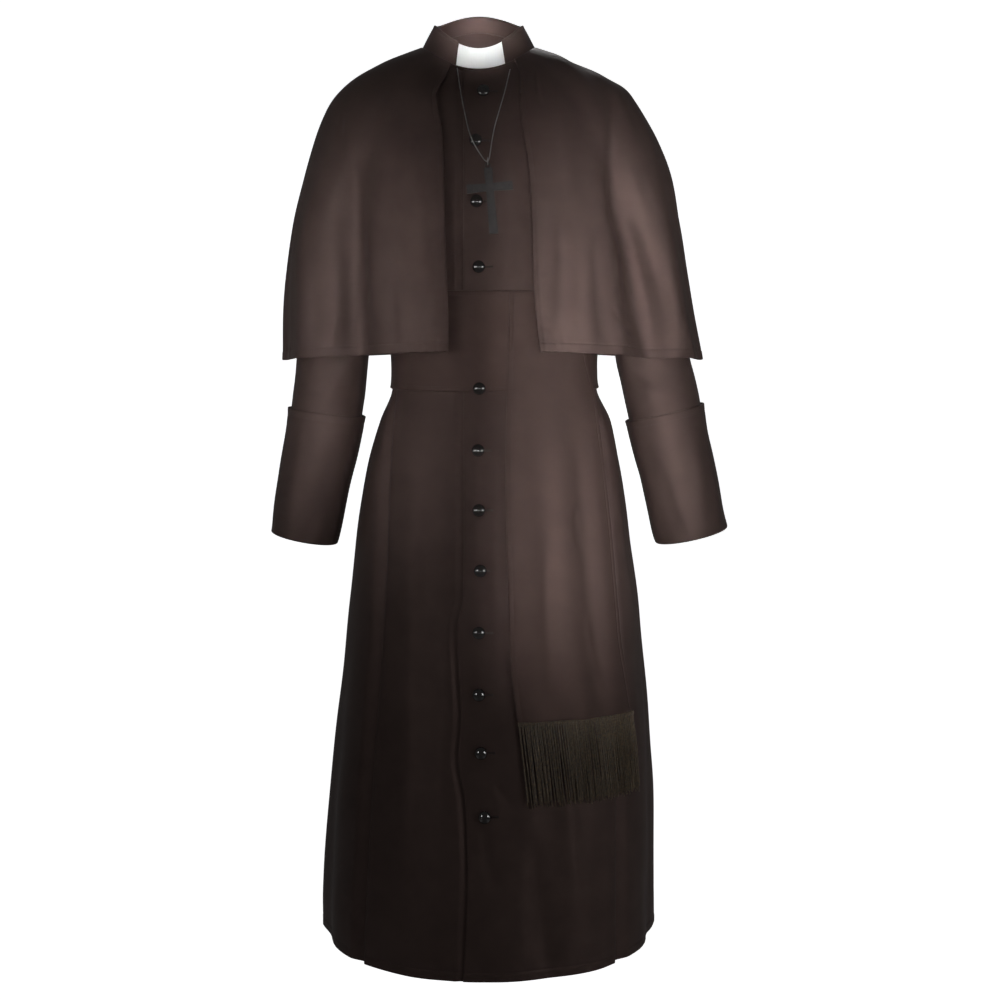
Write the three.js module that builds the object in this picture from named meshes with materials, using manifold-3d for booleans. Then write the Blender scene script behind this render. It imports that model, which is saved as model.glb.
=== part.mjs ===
// A priest's costume worn with no wearer showing: a long buttoned cassock, its shoulder cape,
// band collar with a white insert, waist band with a fringed sash end, and a cross on a chain.
// Millimetres. +Z is up, -Y is the front, +X is the wearer's left.
// The origin is the middle of the neck, at the height of the collar seam's sides.
import * as THREE from "three";
import { mergeVertices } from "three/addons/utils/BufferGeometryUtils.js";
import Module from "manifold-3d";

const wasm = await Module();
wasm.setup();

const DEGREE = Math.PI / 180;
const QUARTER = Math.PI / 2;
const HALF = Math.PI;
const FULL = 2 * Math.PI;

// Cloth and seams
const CLOTH = 1.8;
const BAND_CLOTH = 2.4;
const CUFF_CLOTH = 2.6;
const INSERT_CLOTH = 1.2;
const COLLAR_CLOTH = 2.2;
const SEAM_PULL = 0.2;
const LAP_STEP = 3.0;
const LAP_BLEND = 13;
const LAP_CLEAR = 3;
const UNDERLAP_X = 22;
const BODICE_LAP_X = -21;
const BODY_SQUARENESS = 0.03;

// Heights on the cassock
const WAIST_SEAM_Z = -406;
const HEM_FRONT_Z = -1291;
const HEM_SIDE_RISE = 13;
const HEM_RISE_START_Z = -900;

// Body form, a row for each section from the neckline down to the waist seam.
// side and sideZ give the point at each side, front and frontZ the middle front, back and backZ
// the middle back; centre is how far the section sits towards the wearer's left.
const BODY_COLUMNS = ["step", "side", "sideZ", "front", "frontZ", "back", "backZ", "centre"];
const BODY = [
  [0.0, 78.5, 2.4, 75, -35.4, 65.6, 35.1, -1],
  [0.11, 112, -13, 90, -62, 84, 12, 0],
  [0.23, 146, -33, 101, -95, 97, -25, 2],
  [0.34, 164, -55, 108, -128, 104, -70, 4],
  [0.47, 168, -95, 114, -165, 108, -115, 6],
  [0.6, 165, -145, 119, -208, 108, -162, 9],
  [0.74, 160, -210, 122, -255, 105, -220, 12],
  [0.87, 153, -290, 125, -315, 101, -300, 16],
  [1.0, 146, WAIST_SEAM_Z, 126, WAIST_SEAM_Z, 98, WAIST_SEAM_Z, 20],
];
const ARMHOLE_TOP = 0.34;
const ARMHOLE_FOOT = 0.74;
const ARMHOLE_DEPTH = 27 * DEGREE;
const ARMHOLE_ROUNDNESS = 0.75;

// Skirt form, a row for each height
const SKIRT_COLUMNS = ["z", "side", "centre", "front", "back"];
const SKIRT = [
  [-1300, 241, 12, 205, 214],
  [-1240, 241, 12, 202, 210],
  [-1150, 238, 15, 196, 203],
  [-1060, 234, 17, 189, 195],
  [-970, 227, 19, 181, 185],
  [-880, 218, 20, 172, 173],
  [-790, 210, 20, 163, 160],
  [-700, 199, 19, 153, 146],
  [-641, 191, 19, 147, 136],
  [-582, 181, 20, 140, 125],
  [-524, 166, 23, 133, 112],
  [-480, 147, 21, 127, 100],
  [WAIST_SEAM_Z, 146, 20, 126, 98],
  [-330, 151, 17.6, 125.4, 100.3],
];
const SKIRT_SQUARENESS = 0.03;

// Free edge of the lapped left front, and the folded edges of the front and back panels,
// as the X of each at a height
const LAP_EDGE_COLUMNS = ["z", "x"];
const LAP_EDGE = [
  [-1291, -22], [-1190, -17], [-1130, -16], [-1040, -20], [-985, -29], [-925, -25],
  [-870, -28], [-800, -30], [-760, -22], [-480, -21], [-345, -20], [-130, -21], [-30, -20],
];
const FOLD_COLUMNS = ["z", "right", "left", "backRight", "backLeft"];
const FOLDS = [
  [-1300, -162, 190, -160, 186],
  [-1211, -158, 190, -156, 184],
  [-1060, -150, 190, -150, 182],
  [-944, -142, 188, -143, 180],
  [-831, -133, 183, -136, 175],
  [-707, -127, 173, -128, 168],
  [-645, -125, 167, -124, 164],
  [-523, -120, 160, -118, 158],
  [-478, -117, 157, -112, 152],
  [WAIST_SEAM_Z, -116, 156, -110, 150],
];
const FOLD_RADIUS = 2.0;
const FOLD_UNDERLAY = 20;
const GORE_RADIUS = 2.15;
const GORE_INSET = 8.3;
const GORE_CLEAR = 4;
const GORE_MIDDLE = 17;
const GORE_RISE = 34;

// Soft flutes of the skirt: the angle round the body, its half width, its depth at the hem and
// the height where it starts
const FLUTE_COLUMNS = ["angle", "width", "depth", "topZ"];
const FLUTES = [
  [-24, 9, 2.5, -760],
  [22, 10, -4, -980],
  [34, 9, 4, -980],
  [78, 9, -6, -560],
  [96, 9, 7, -560],
  [-76, 9, -6, -560],
  [-95, 9, 7, -560],
  [146, 11, 7, -640],
  [165, 10, -7, -640],
  [184, 11, 8, -640],
  [205, 11, -7, -640],
  [224, 10, 6, -640],
];

// Collar: the seam ring, the upper rim ring and the gap at the front
const COLLAR_SEAM = { side: 79, sideZ: 4, front: 75.5, frontZ: -33.5, back: 66, backZ: 36.5, centre: -1 };
const COLLAR_RIM = { side: 62, sideZ: 36, front: 60, frontZ: -1, back: 61, backZ: 58, centre: -1 };
const COLLAR_GAP_SEAM = 26 * DEGREE;
const COLLAR_GAP_RIM = 29 * DEGREE;
const INSERT_TURN = 2.5 * DEGREE;
const INSERT_TUCK = 6 * DEGREE;
const INSERT_INSET = 2.4;

// Shoulder cape, a row for each ring from the collar seam to the hem; right and left give the X
// of the two front edges
const CAPE_COLUMNS = ["step", "side", "sideZ", "front", "frontZ", "back", "backZ", "centre", "right", "left"];
const CAPE = [
  [0.0, 80.9, 5, 77.6, -31.5, 67.9, 38.6, -1, -38, 49],
  [0.08, 112, -6, 93, -54, 86, 22, 0, -46, 56],
  [0.16, 145, -21, 104, -76, 99, -3, 0, -57, 56],
  [0.24, 176, -36, 112, -100, 110, -33, 3, -56, 57],
  [0.31, 200, -52, 118, -124, 117, -64, 6, -51, 60],
  [0.38, 216, -71, 123, -150, 122, -96, 6, -49, 64],
  [0.46, 231, -97, 127, -180, 126, -131, 8, -48, 68],
  [0.55, 246, -131, 131, -215, 130, -173, 10, -47, 70.6],
  [0.65, 262, -177, 135, -258, 134, -223, 11, -46, 72.5],
  [0.76, 277, -242, 139, -308, 138, -281, 9, -44, 74],
  [0.88, 288, -321, 142, -362, 142, -349, 9, -42, 77],
  [1.0, 301, -437, 145, -422, 146, -432, 16, -41.5, 84],
];
const CAPE_SQUARENESS = 0.05;
const CAPE_SQUARE_FROM = 0.2;
const CAPE_SQUARE_FULL = 0.7;
const CAPE_SEAM_ANGLE = 96 * DEGREE;

// Folds of the cape: angle at the collar and at the hem, half width, height of the fold at the
// hem (a trough is negative) and the step down the cape where it starts
const CAPE_FOLD_COLUMNS = ["topAngle", "hemAngle", "width", "height", "start"];
const CAPE_FOLDS = [
  [-24, -22, 9, 5, 0.45],
  [-47, -38, 6, -24, 0.12],
  [-62, -54, 8, 11, 0.35],
  [-80, -76, 8, -5, 0.55],
  [24, 24, 9, 5, 0.4],
  [40, 46, 6.5, -25, 0.1],
  [57, 62, 7, 10, 0.35],
  [74, 76, 7, 5, 0.55],
  [118, 116, 9, 8, 0.5],
  [138, 137, 9, -8, 0.5],
  [160, 158, 10, 9, 0.5],
  [182, 180, 10, -8, 0.5],
  [204, 203, 10, 9, 0.5],
  [224, 225, 9, -8, 0.5],
  [242, 244, 9, 8, 0.5],
];

// Waist band
const BAND_TOP_Z = -339;
const BAND_FOOT_Z = -477;
const BAND_LIFT = 3.1;

// Sash end: the X of its two long edges at each height
const TAIL_COLUMNS = ["z", "right", "left"];
const TAIL = [
  [-931, 53, 211],
  [-885, 47, 203],
  [-828, 43, 194],
  [-740, 40, 186],
  [-672, 38, 180],
  [-576, 37, 169],
  [-500, 38, 159],
  [-430, 40, 144],
  [-341, 42, 132],
];
const TAIL_LIFT = 6.7;
const TAIL_FOLD_GROWTH = 140;
const TAIL_FOLD_COLUMNS = ["across", "width", "height", "topZ"];
const TAIL_FOLDS = [
  [0.12, 0.1, 1.6, -470],
  [0.32, 0.09, -2.0, -560],
  [0.5, 0.09, 2.2, -480],
  [0.68, 0.07, -2.2, -500],
  [0.86, 0.09, 1.8, -480],
];

// Fringe of the sash end
const FRINGE_HEADER = 5;
const FRINGE_DROP = 114;
const FRINGE_SLANT_RIGHT = 14;
const FRINGE_SLANT_LEFT = 9;
const FRINGE_DEPTH = 5.4;
const FRINGE_UNEVEN = 9;
const FRINGE_SWAY = 0.008;
const STRAND_SIDES = 3;
const FRINGE_LAYERS = [
  { lift: 5.0, count: 38, width: 2.3 },
  { lift: 8.2, count: 38, width: 2.3 },
];

// Sleeves and cuffs, a row for each station from the armhole to the wrist: the outer and the
// inner edge seen from the front, how far forward the middle is, and half the depth
const ARM_COLUMNS = ["station", "outX", "outZ", "inX", "inZ", "y", "deep"];
const RIGHT_ARM = [
  [0, -164, -52, -149, -210, 3, 55],
  [1, -203, -79, -151, -219, 5, 61],
  [2, -229, -130, -153, -229, 6, 63],
  [3, -246, -200, -155, -251, 7, 62],
  [4, -255, -290, -157, -306, 8, 62],
  [5, -261, -390, -160, -394, 5, 62],
  [6, -264, -437, -163, -441, 2, 61],
  [7, -270, -490, -169, -500, -4, 60],
  [8, -276, -543, -180, -561, -9, 59],
  [9, -286, -601, -194, -619, -14, 57],
  [10, -294, -659, -206, -677, -18, 55],
  [11, -297, -682, -211, -699, -20, 54],
];
const LEFT_ARM = [
  [0, 168, -52, 172, -210, 3, 55],
  [1, 214, -82, 176, -219, 5, 61],
  [2, 244, -132, 178, -230, 6, 63],
  [3, 267, -200, 181, -252, 7, 62],
  [4, 280, -290, 185, -308, 8, 62],
  [5, 296, -388, 193, -398, 5, 62],
  [6, 303, -432, 199, -443, 2, 61],
  [7, 315, -483, 213, -507, -4, 60],
  [8, 324, -541, 226, -563, -9, 59],
  [9, 337, -599, 241, -621, -14, 58],
  [10, 348, -657, 254, -679, -18, 57],
  [11, 353, -676, 259, -698, -20, 56],
];
const CUFF_TOP_STATION = 7.3;
const WRIST_STATION = 11;
const CUFF_LIFT_TOP = 4.8;
const CUFF_LIFT_FOOT = 3.8;
const CUFF_LIP = 1.9;
const WRIST_REACH = 0.5;
const SLEEVE_SEAM_LIFT = 2.2;

// Buttons: the height of each and how far it stands from the middle front
const BUTTON_COLUMNS = ["z", "x"];
const BUTTONS = [
  [-66, 6], [-134, -4], [-217, -3], [-306, 0], [-473, 1], [-558, -1],
  [-640, 0], [-723, 2], [-808, 0], [-893, 0], [-973, 3], [-1061, 8],
];
const BUTTON_RADIUS = 8.7;
const BUTTON_HEIGHT = 7.6;
const BUTTON_SIDES = 8;
const SHANK_RADIUS = 2.4;
const SHANK_LENGTH = 1.8;
const BUTTON_RIM = 0.3;
const DOME_HEIGHTS = [0.62, 0.92];
const DOME_SHOULDER = 0.56;
const REST_GAP = 0.35;
const BAND_BUTTON = 4;

// Chain, ring and cross; the chain's route is a list of points on the dressed front, each with
// its height off the cloth's middle
const CHAIN_DIAMETER = 1.6;
const CHAIN_COLUMNS = ["x", "z", "lift"];
const CHAIN = [
  [-30, -34, 2.2], [-27, -55, 2.2], [-24, -73, 2.2], [-19, -98, 2.4], [-14.5, -118, 5.4],
  [-9, -135, 9.6], [-2.5, -147, 8.2], [4, -157, 7.2], [7.8, -162, 6.9], [10.5, -163.5, 6.9],
  [13.2, -162, 6.9], [15.5, -151, 5.8], [18, -134, 3.2], [21.5, -116, 2.3], [27, -96, 2.2],
  [35, -68, 2.2], [42.5, -36, 2.2],
];
const CHAIN_STEPS = 58;
const CORD_SIDES = 8;
const RING_RADIUS = 4.4;
const EYE_RADIUS = 3.2;
const WIRE_RADIUS = 0.8;
const WIRE_SIDES = 6;
const WIRE_STEPS = 14;
const LINK_GAP = 0.3;
const CHAIN_SLACK = 2.0;
const CROSS_LEAN = -3.6 * DEGREE;
const CROSS_TILT = -5.1 * DEGREE;
const CROSS_HEIGHT = 90;
const CROSS_SPAN = 63;
const CROSS_WAIST = 10.2;
const CROSS_END = 12.2;
const CROSS_ARM_DROP = 26.5;
const CROSS_DEPTH = 3;

const COLOURS = {
  cloth: { color: "#3b2a24", roughness: 0.55, metalness: 0 },
  band: { color: "#35251f", roughness: 0.6, metalness: 0 },
  white: { color: "#e9e9ea", roughness: 0.6, metalness: 0 },
  fringe: { color: "#33241a", roughness: 0.65, metalness: 0 },
  button: { color: "#140d0a", roughness: 0.15, metalness: 0 },
  chain: { color: "#8b8984", roughness: 0.3, metalness: 0.9 },
  cross: { color: "#2a221e", roughness: 0.5, metalness: 0.3 },
};

function clamp01(value) {
  return Math.min(1, Math.max(0, value));
}

function smooth(from, to, value) {
  const t = clamp01((value - from) / (to - from));
  return t * t * (3 - 2 * t);
}

function bell(value) {
  return Math.exp(-value * value);
}

// The shorter turn from one angle to another
function turnBetween(angle, from) {
  return angle - from - FULL * Math.round((angle - from) / FULL);
}

function spread(from, to, count) {
  return Array.from({ length: count }, (_, i) => from + ((to - from) * i) / (count - 1));
}

// A table entry with its columns named
function named(columns, entry) {
  return Object.fromEntries(columns.map((name, i) => [name, entry[i]]));
}

// A named row from a table whose first column rises or falls, read between its rows on a
// smooth curve
function tableRow(table, columns, key) {
  const rising = table[0][0] < table[table.length - 1][0];
  const rows = rising ? table : [...table].reverse();
  const last = rows.length - 1;
  const at = Math.min(Math.max(key, rows[0][0]), rows[last][0]);
  let i = 0;
  while (i < last - 1 && at > rows[i + 1][0]) i += 1;
  const before = rows[Math.max(i - 1, 0)];
  const after = rows[Math.min(i + 2, last)];
  const low = rows[i];
  const high = rows[i + 1];
  const step = high[0] - low[0];
  const t = (at - low[0]) / step;
  const values = columns.map((name, c) => {
    const slopeLow = i > 0 ? (high[c] - before[c]) / (high[0] - before[0]) : (high[c] - low[c]) / step;
    const slopeHigh = i < last - 1 ? (after[c] - low[c]) / (after[0] - low[0]) : (high[c] - low[c]) / step;
    const t2 = t * t;
    const t3 = t2 * t;
    return (2 * t3 - 3 * t2 + 1) * low[c] + (t3 - 2 * t2 + t) * step * slopeLow
      + (3 * t2 - 2 * t3) * high[c] + (t3 - t2) * step * slopeHigh;
  });
  return named(columns, values);
}

// A point of an oval section: angle 0 is the middle front and turns towards the wearer's left
function ovalPoint(angle, row, squareness) {
  const sine = Math.sin(angle);
  const cosine = Math.cos(angle);
  const corner = 1 + squareness * Math.sin(2 * angle) ** 2;
  const depth = cosine > 0 ? row.front : row.back;
  const middleZ = cosine > 0 ? row.frontZ : row.backZ;
  return new THREE.Vector3(
    row.centre + row.side * sine * corner,
    -depth * cosine * corner,
    row.sideZ * sine * sine + middleZ * cosine * cosine,
  );
}

// The angle in the front half of an oval section that stands at a given X
function angleAtX(x, row, squareness) {
  const target = (x - row.centre) / row.side;
  let angle = Math.asin(Math.min(1, Math.max(-1, target)));
  for (let pass = 0; pass < 8; pass += 1) {
    const corner = 1 + squareness * Math.sin(2 * angle) ** 2;
    angle = Math.asin(Math.min(1, Math.max(-1, target / corner)));
  }
  return angle;
}

// Small steps that the normal of a form is read over, and the last place where it is read
const NORMAL_STEP = 1e-4;
const LAST_STEP = 0.999;

function normalOf(surface, a, b) {
  const alongA = surface(a + NORMAL_STEP, b).sub(surface(a - NORMAL_STEP, b));
  const alongB = surface(a, b + NORMAL_STEP).sub(surface(a, b - NORMAL_STEP));
  return alongA.cross(alongB).normalize();
}

// The body form, with its outward normal
function bodyBase(angle, step) {
  return ovalPoint(angle, tableRow(BODY, BODY_COLUMNS, step), BODY_SQUARENESS);
}

function bodyPoint(angle, step, lift) {
  const normal = normalOf(bodyBase, angle, Math.min(step, LAST_STEP)).negate();
  return bodyBase(angle, step).addScaledVector(normal, lift);
}

// The skirt form at a height, with its soft flutes
function skirtRow(z) {
  const row = tableRow(SKIRT, SKIRT_COLUMNS, z);
  return { ...row, sideZ: z, frontZ: z, backZ: z };
}

function fluteLift(angle, z) {
  let lift = 0;
  for (const entry of FLUTES) {
    const flute = named(FLUTE_COLUMNS, entry);
    const away = turnBetween(angle, flute.angle * DEGREE) / DEGREE;
    lift += flute.depth * bell(away / flute.width) * smooth(flute.topZ, HEM_FRONT_Z, z);
  }
  return lift;
}

function skirtBase(angle, z) {
  return ovalPoint(angle, skirtRow(z), SKIRT_SQUARENESS);
}

function skirtPoint(angle, z, lift) {
  const normal = normalOf(skirtBase, angle, z);
  const rise = HEM_SIDE_RISE * Math.sin(angle) ** 2 * smooth(HEM_RISE_START_Z, HEM_FRONT_Z, z);
  const point = skirtBase(angle, z).addScaledVector(normal, lift + fluteLift(angle, z));
  point.z += rise;
  return point;
}

// The angle and step of the body form at a front X and height
function bodyAt(x, z) {
  let low = 0;
  let high = 1;
  let angle = 0;
  for (let pass = 0; pass < 30; pass += 1) {
    const middle = (low + high) / 2;
    angle = angleAtX(x, tableRow(BODY, BODY_COLUMNS, middle), BODY_SQUARENESS);
    if (bodyBase(angle, middle).z > z) low = middle;
    else high = middle;
  }
  return { angle, step: (low + high) / 2 };
}

// A point of the dressed front at X and height, lifted off the cloth's middle
function frontPoint(x, z, lift) {
  if (z > WAIST_SEAM_Z) {
    const place = bodyAt(x, z);
    return bodyPoint(place.angle, place.step, lift);
  }
  return skirtPoint(angleAtX(x, skirtRow(z), SKIRT_SQUARENESS), z, lift);
}

function lapEdgeX(z) {
  return tableRow(LAP_EDGE, LAP_EDGE_COLUMNS, z).x;
}

// How far the under layer of the button lap stands in behind the upper one
function underlapLift(x, edge) {
  return -LAP_STEP * smooth(edge - LAP_BLEND, edge - LAP_CLEAR, x);
}

// Closes a grid of middle points into a wall of the given thickness
function wall(surface, acrossList, downList, thickness, options = {}) {
  const closed = options.closed ?? false;
  const columns = acrossList.length;
  const rows = downList.length;
  const middle = [];
  const normals = [];
  for (const down of downList) {
    for (const across of acrossList) {
      middle.push(surface(across, down));
      normals.push(normalOf(surface, across, down));
    }
  }
  const index = (column, row) => row * columns + (column % columns);
  const pull = options.pull ?? SEAM_PULL;
  const pullTo = (edge, inner) => {
    const way = middle[inner].clone().sub(middle[edge]);
    middle[edge].addScaledVector(way, pull / way.length());
  };
  for (let column = 0; column < columns; column += 1) {
    pullTo(index(column, 0), index(column, 1));
    pullTo(index(column, rows - 1), index(column, rows - 2));
  }
  if (!closed) {
    for (let row = 0; row < rows; row += 1) {
      pullTo(index(0, row), index(1, row));
      pullTo(index(columns - 1, row), index(columns - 2, row));
    }
  }
  const total = middle.length;
  const positions = [];
  for (const side of [0.5, -0.5]) {
    middle.forEach((point, i) => {
      const moved = point.clone().addScaledVector(normals[i], side * thickness);
      positions.push(moved.x, moved.y, moved.z);
    });
  }
  const faces = [];
  const quad = (a, b, c, d) => faces.push(a, b, c, a, c, d);
  const spans = closed ? columns : columns - 1;
  for (let row = 0; row < rows - 1; row += 1) {
    for (let column = 0; column < spans; column += 1) {
      const a = index(column, row);
      const b = index(column + 1, row);
      const c = index(column + 1, row + 1);
      const d = index(column, row + 1);
      quad(a, b, c, d);
      quad(total + a, total + d, total + c, total + b);
    }
  }
  for (let column = 0; column < spans; column += 1) {
    const topA = index(column, 0);
    const topB = index(column + 1, 0);
    quad(topB, topA, total + topA, total + topB);
    const footA = index(column, rows - 1);
    const footB = index(column + 1, rows - 1);
    quad(footA, footB, total + footB, total + footA);
  }
  if (!closed) {
    for (let row = 0; row < rows - 1; row += 1) {
      const startA = index(0, row);
      const startB = index(0, row + 1);
      quad(startA, startB, total + startB, total + startA);
      const endA = index(columns - 1, row);
      const endB = index(columns - 1, row + 1);
      quad(endB, endA, total + endA, total + endB);
    }
  }
  return outward(positions, faces);
}

// A geometry whose faces point out
function outward(positions, faces) {
  let volume = 0;
  const corner = (i) => new THREE.Vector3().fromArray(positions, 3 * i);
  for (let i = 0; i < faces.length; i += 3) {
    const a = corner(faces[i]);
    volume += a.dot(corner(faces[i + 1]).cross(corner(faces[i + 2])));
  }
  if (volume < 0) {
    for (let i = 0; i < faces.length; i += 3) {
      [faces[i + 1], faces[i + 2]] = [faces[i + 2], faces[i + 1]];
    }
  }
  const geometry = new THREE.BufferGeometry();
  geometry.setAttribute("position", new THREE.Float32BufferAttribute(positions, 3));
  geometry.setIndex(faces);
  return geometry;
}

// Boolean solids
function solidOf(source) {
  let geometry = source.clone();
  geometry.deleteAttribute("normal");
  geometry.deleteAttribute("uv");
  geometry = mergeVertices(geometry, 1e-4);
  return new wasm.Manifold(new wasm.Mesh({
    numProp: 3,
    vertProperties: new Float32Array(geometry.attributes.position.array),
    triVerts: new Uint32Array(geometry.index.array),
  }));
}

function geometryOf(solid) {
  const mesh = solid.getMesh();
  const geometry = new THREE.BufferGeometry();
  geometry.setAttribute("position", new THREE.BufferAttribute(new Float32Array(mesh.vertProperties), 3));
  geometry.setIndex(Array.from(mesh.triVerts));
  return geometry;
}

const costume = new THREE.Group();

function add(name, geometry, finish, parent = costume) {
  const mesh = new THREE.Mesh(geometry, new THREE.MeshStandardMaterial(COLOURS[finish]));
  mesh.name = name;
  parent.add(mesh);
  return mesh;
}

// Bodice: two lapped fronts and a back, open at the neck and armholes
function armholeAngle(step) {
  const part = clamp01((step - ARMHOLE_TOP) / (ARMHOLE_FOOT - ARMHOLE_TOP));
  return ARMHOLE_DEPTH * Math.sin(Math.PI * part) ** ARMHOLE_ROUNDNESS;
}

function bodyAngleAtX(x, step) {
  return angleAtX(x, tableRow(BODY, BODY_COLUMNS, step), BODY_SQUARENESS);
}

// Reads an angle between the stops of a panel: a list of [across, angle] pairs
function betweenStops(stops, across) {
  let i = 0;
  while (i < stops.length - 2 && across > stops[i + 1][0]) i += 1;
  const [fromAcross, fromAngle] = stops[i];
  const [toAcross, toAngle] = stops[i + 1];
  return fromAngle + ((toAngle - fromAngle) * (across - fromAcross)) / (toAcross - fromAcross);
}

function bodiceRightFront(across, step) {
  const angle = betweenStops([
    [0, -(QUARTER - armholeAngle(step))],
    [0.7, bodyAngleAtX(BODICE_LAP_X - LAP_BLEND, step)],
    [0.8, bodyAngleAtX(BODICE_LAP_X - LAP_CLEAR, step)],
    [1, bodyAngleAtX(UNDERLAP_X, step)],
  ], across);
  return bodyPoint(angle, step, underlapLift(bodyBase(angle, step).x, BODICE_LAP_X));
}

function bodiceLeftFront(across, step) {
  const from = bodyAngleAtX(BODICE_LAP_X, step);
  const to = QUARTER - armholeAngle(step);
  return bodyPoint(from + (to - from) * across, step, 0);
}

function bodiceBack(across, step) {
  const start = QUARTER + armholeAngle(step);
  return bodyPoint(start + (FULL - 2 * start) * across, step, 0);
}

const BODICE_STEPS = [0, 0.12, 0.24, 0.34, 0.38, 0.46, 0.54, 0.63, 0.7, 0.74, 0.87, 1];
const RIGHT_FRONT_ACROSS = [0, 0.14, 0.28, 0.42, 0.56, 0.7, 0.75, 0.8, 0.9, 1];
add("bodice_right_front", wall(bodiceRightFront, RIGHT_FRONT_ACROSS, BODICE_STEPS, CLOTH), "cloth");
add("bodice_left_front", wall(bodiceLeftFront, spread(0, 1, 9), BODICE_STEPS, CLOTH), "cloth");
add("bodice_back", wall(bodiceBack, spread(0, 1, 12), BODICE_STEPS, CLOTH), "cloth");

// Skirt: each front and the back end in a folded edge with its underlay turned back inside;
// a gore is set in behind those folds
const SKIRT_LEVELS = [
  WAIST_SEAM_Z, -480, -502, -535, -590, -660, -750, -860, -970, -1080, -1185, HEM_FRONT_Z,
];

function skirtAngleAtX(x, z) {
  return angleAtX(x, skirtRow(z), SKIRT_SQUARENESS);
}

function foldAngle(edge, z) {
  const angle = skirtAngleAtX(tableRow(FOLDS, FOLD_COLUMNS, z)[edge], z);
  return edge.startsWith("back") ? HALF - angle : angle;
}

// How far the section runs for each unit of angle, in millimetres
function arcScale(z, angle) {
  const row = skirtRow(z);
  return Math.hypot(row.side * Math.cos(angle), row.front * Math.sin(angle));
}

// Past the fold: round it from 1 to 1.5, then back along the underlay to 2; way is +1 where the
// fold points to rising angles
function foldedPoint(fold, way, across, z) {
  const scale = arcScale(z, fold);
  if (across <= 1.5) {
    const round = (across - 1) * FULL;
    const ahead = (FOLD_RADIUS * Math.sin(round)) / scale;
    return skirtPoint(fold + way * ahead, z, FOLD_RADIUS * (Math.cos(round) - 1));
  }
  const back = ((across - 1.5) * 2 * FOLD_UNDERLAY) / scale;
  return skirtPoint(fold - way * back, z, -2 * FOLD_RADIUS);
}

function skirtRightFront(across, z) {
  const fold = foldAngle("right", z);
  if (across > 1) return foldedPoint(fold, -1, across, z);
  const edge = lapEdgeX(z);
  const angle = betweenStops([
    [0, skirtAngleAtX(UNDERLAP_X, z)],
    [0.2, skirtAngleAtX(edge - LAP_CLEAR, z)],
    [0.3, skirtAngleAtX(edge - LAP_BLEND, z)],
    [1, fold],
  ], across);
  return skirtPoint(angle, z, underlapLift(skirtBase(angle, z).x, edge));
}

function skirtLeftFront(across, z) {
  const fold = foldAngle("left", z);
  if (across > 1) return foldedPoint(fold, 1, across, z);
  const start = skirtAngleAtX(lapEdgeX(z), z);
  return skirtPoint(start + (fold - start) * across, z, 0);
}

function skirtBack(across, z) {
  const left = across < 0;
  const fold = foldAngle(left ? "backLeft" : "backRight", z);
  const away = Math.abs(across);
  if (away > 1) return foldedPoint(fold, left ? -1 : 1, away, z);
  const middle = HALF;
  return skirtPoint(middle + (fold - middle) * away, z, 0);
}

const FOLD_ACROSS = [1, 1.125, 1.25, 1.375, 1.5, 2];
const RIGHT_SKIRT_ACROSS = [0, 0.1, 0.2, 0.25, 0.3, 0.42, 0.54, 0.66, 0.78, 0.9, ...FOLD_ACROSS];
const LEFT_SKIRT_ACROSS = [...spread(0, 0.9, 10), ...FOLD_ACROSS];
const BACK_SKIRT_ACROSS = [
  ...[...FOLD_ACROSS].reverse().map((value) => -value),
  ...spread(-0.84, 0.84, 13),
  ...FOLD_ACROSS,
];
add("skirt_right_front", wall(skirtRightFront, RIGHT_SKIRT_ACROSS, SKIRT_LEVELS, CLOTH), "cloth");
add("skirt_left_front", wall(skirtLeftFront, LEFT_SKIRT_ACROSS, SKIRT_LEVELS, CLOTH), "cloth");
add("skirt_back", wall(skirtBack, BACK_SKIRT_ACROSS, SKIRT_LEVELS, CLOTH), "cloth");

// A gore starts at the end of the front underlay, turns, runs out behind the folds to the side
// and turns again to meet the back underlay
function gorePoint(frontFold, backFold, way, across, z) {
  const frontScale = arcScale(z, frontFold);
  const backScale = arcScale(z, backFold);
  const start = frontFold - (way * FOLD_UNDERLAY) / frontScale;
  const end = backFold + (way * FOLD_UNDERLAY) / backScale;
  if (across < 0 || across > 1) {
    const atFront = across < 0;
    const round = (atFront ? -across : across - 1) * FULL;
    const ahead = (GORE_RADIUS * Math.sin(round)) / (atFront ? frontScale : backScale);
    const angle = atFront ? start - way * ahead : end + way * ahead;
    return skirtPoint(angle, z, -GORE_INSET + GORE_RADIUS * (1 - Math.cos(round)));
  }
  const angle = betweenStops([
    [0, start],
    [0.1, frontFold + (way * GORE_CLEAR) / frontScale],
    [0.2, frontFold + (way * GORE_MIDDLE) / frontScale],
    [0.3, frontFold + (way * GORE_RISE) / frontScale],
    [0.7, backFold - (way * GORE_RISE) / backScale],
    [0.8, backFold - (way * GORE_MIDDLE) / backScale],
    [0.9, backFold - (way * GORE_CLEAR) / backScale],
    [1, end],
  ], across);
  const pastFront = way * (angle - frontFold) * frontScale;
  const pastBack = way * (backFold - angle) * backScale;
  const rise = smooth(GORE_CLEAR, GORE_RISE, Math.min(pastFront, pastBack));
  return skirtPoint(angle, z, -GORE_INSET * (1 - rise));
}

function leftGore(across, z) {
  return gorePoint(foldAngle("left", z), foldAngle("backLeft", z), 1, across, z);
}

function rightGore(across, z) {
  return gorePoint(foldAngle("right", z), foldAngle("backRight", z) - FULL, -1, across, z);
}

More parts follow.
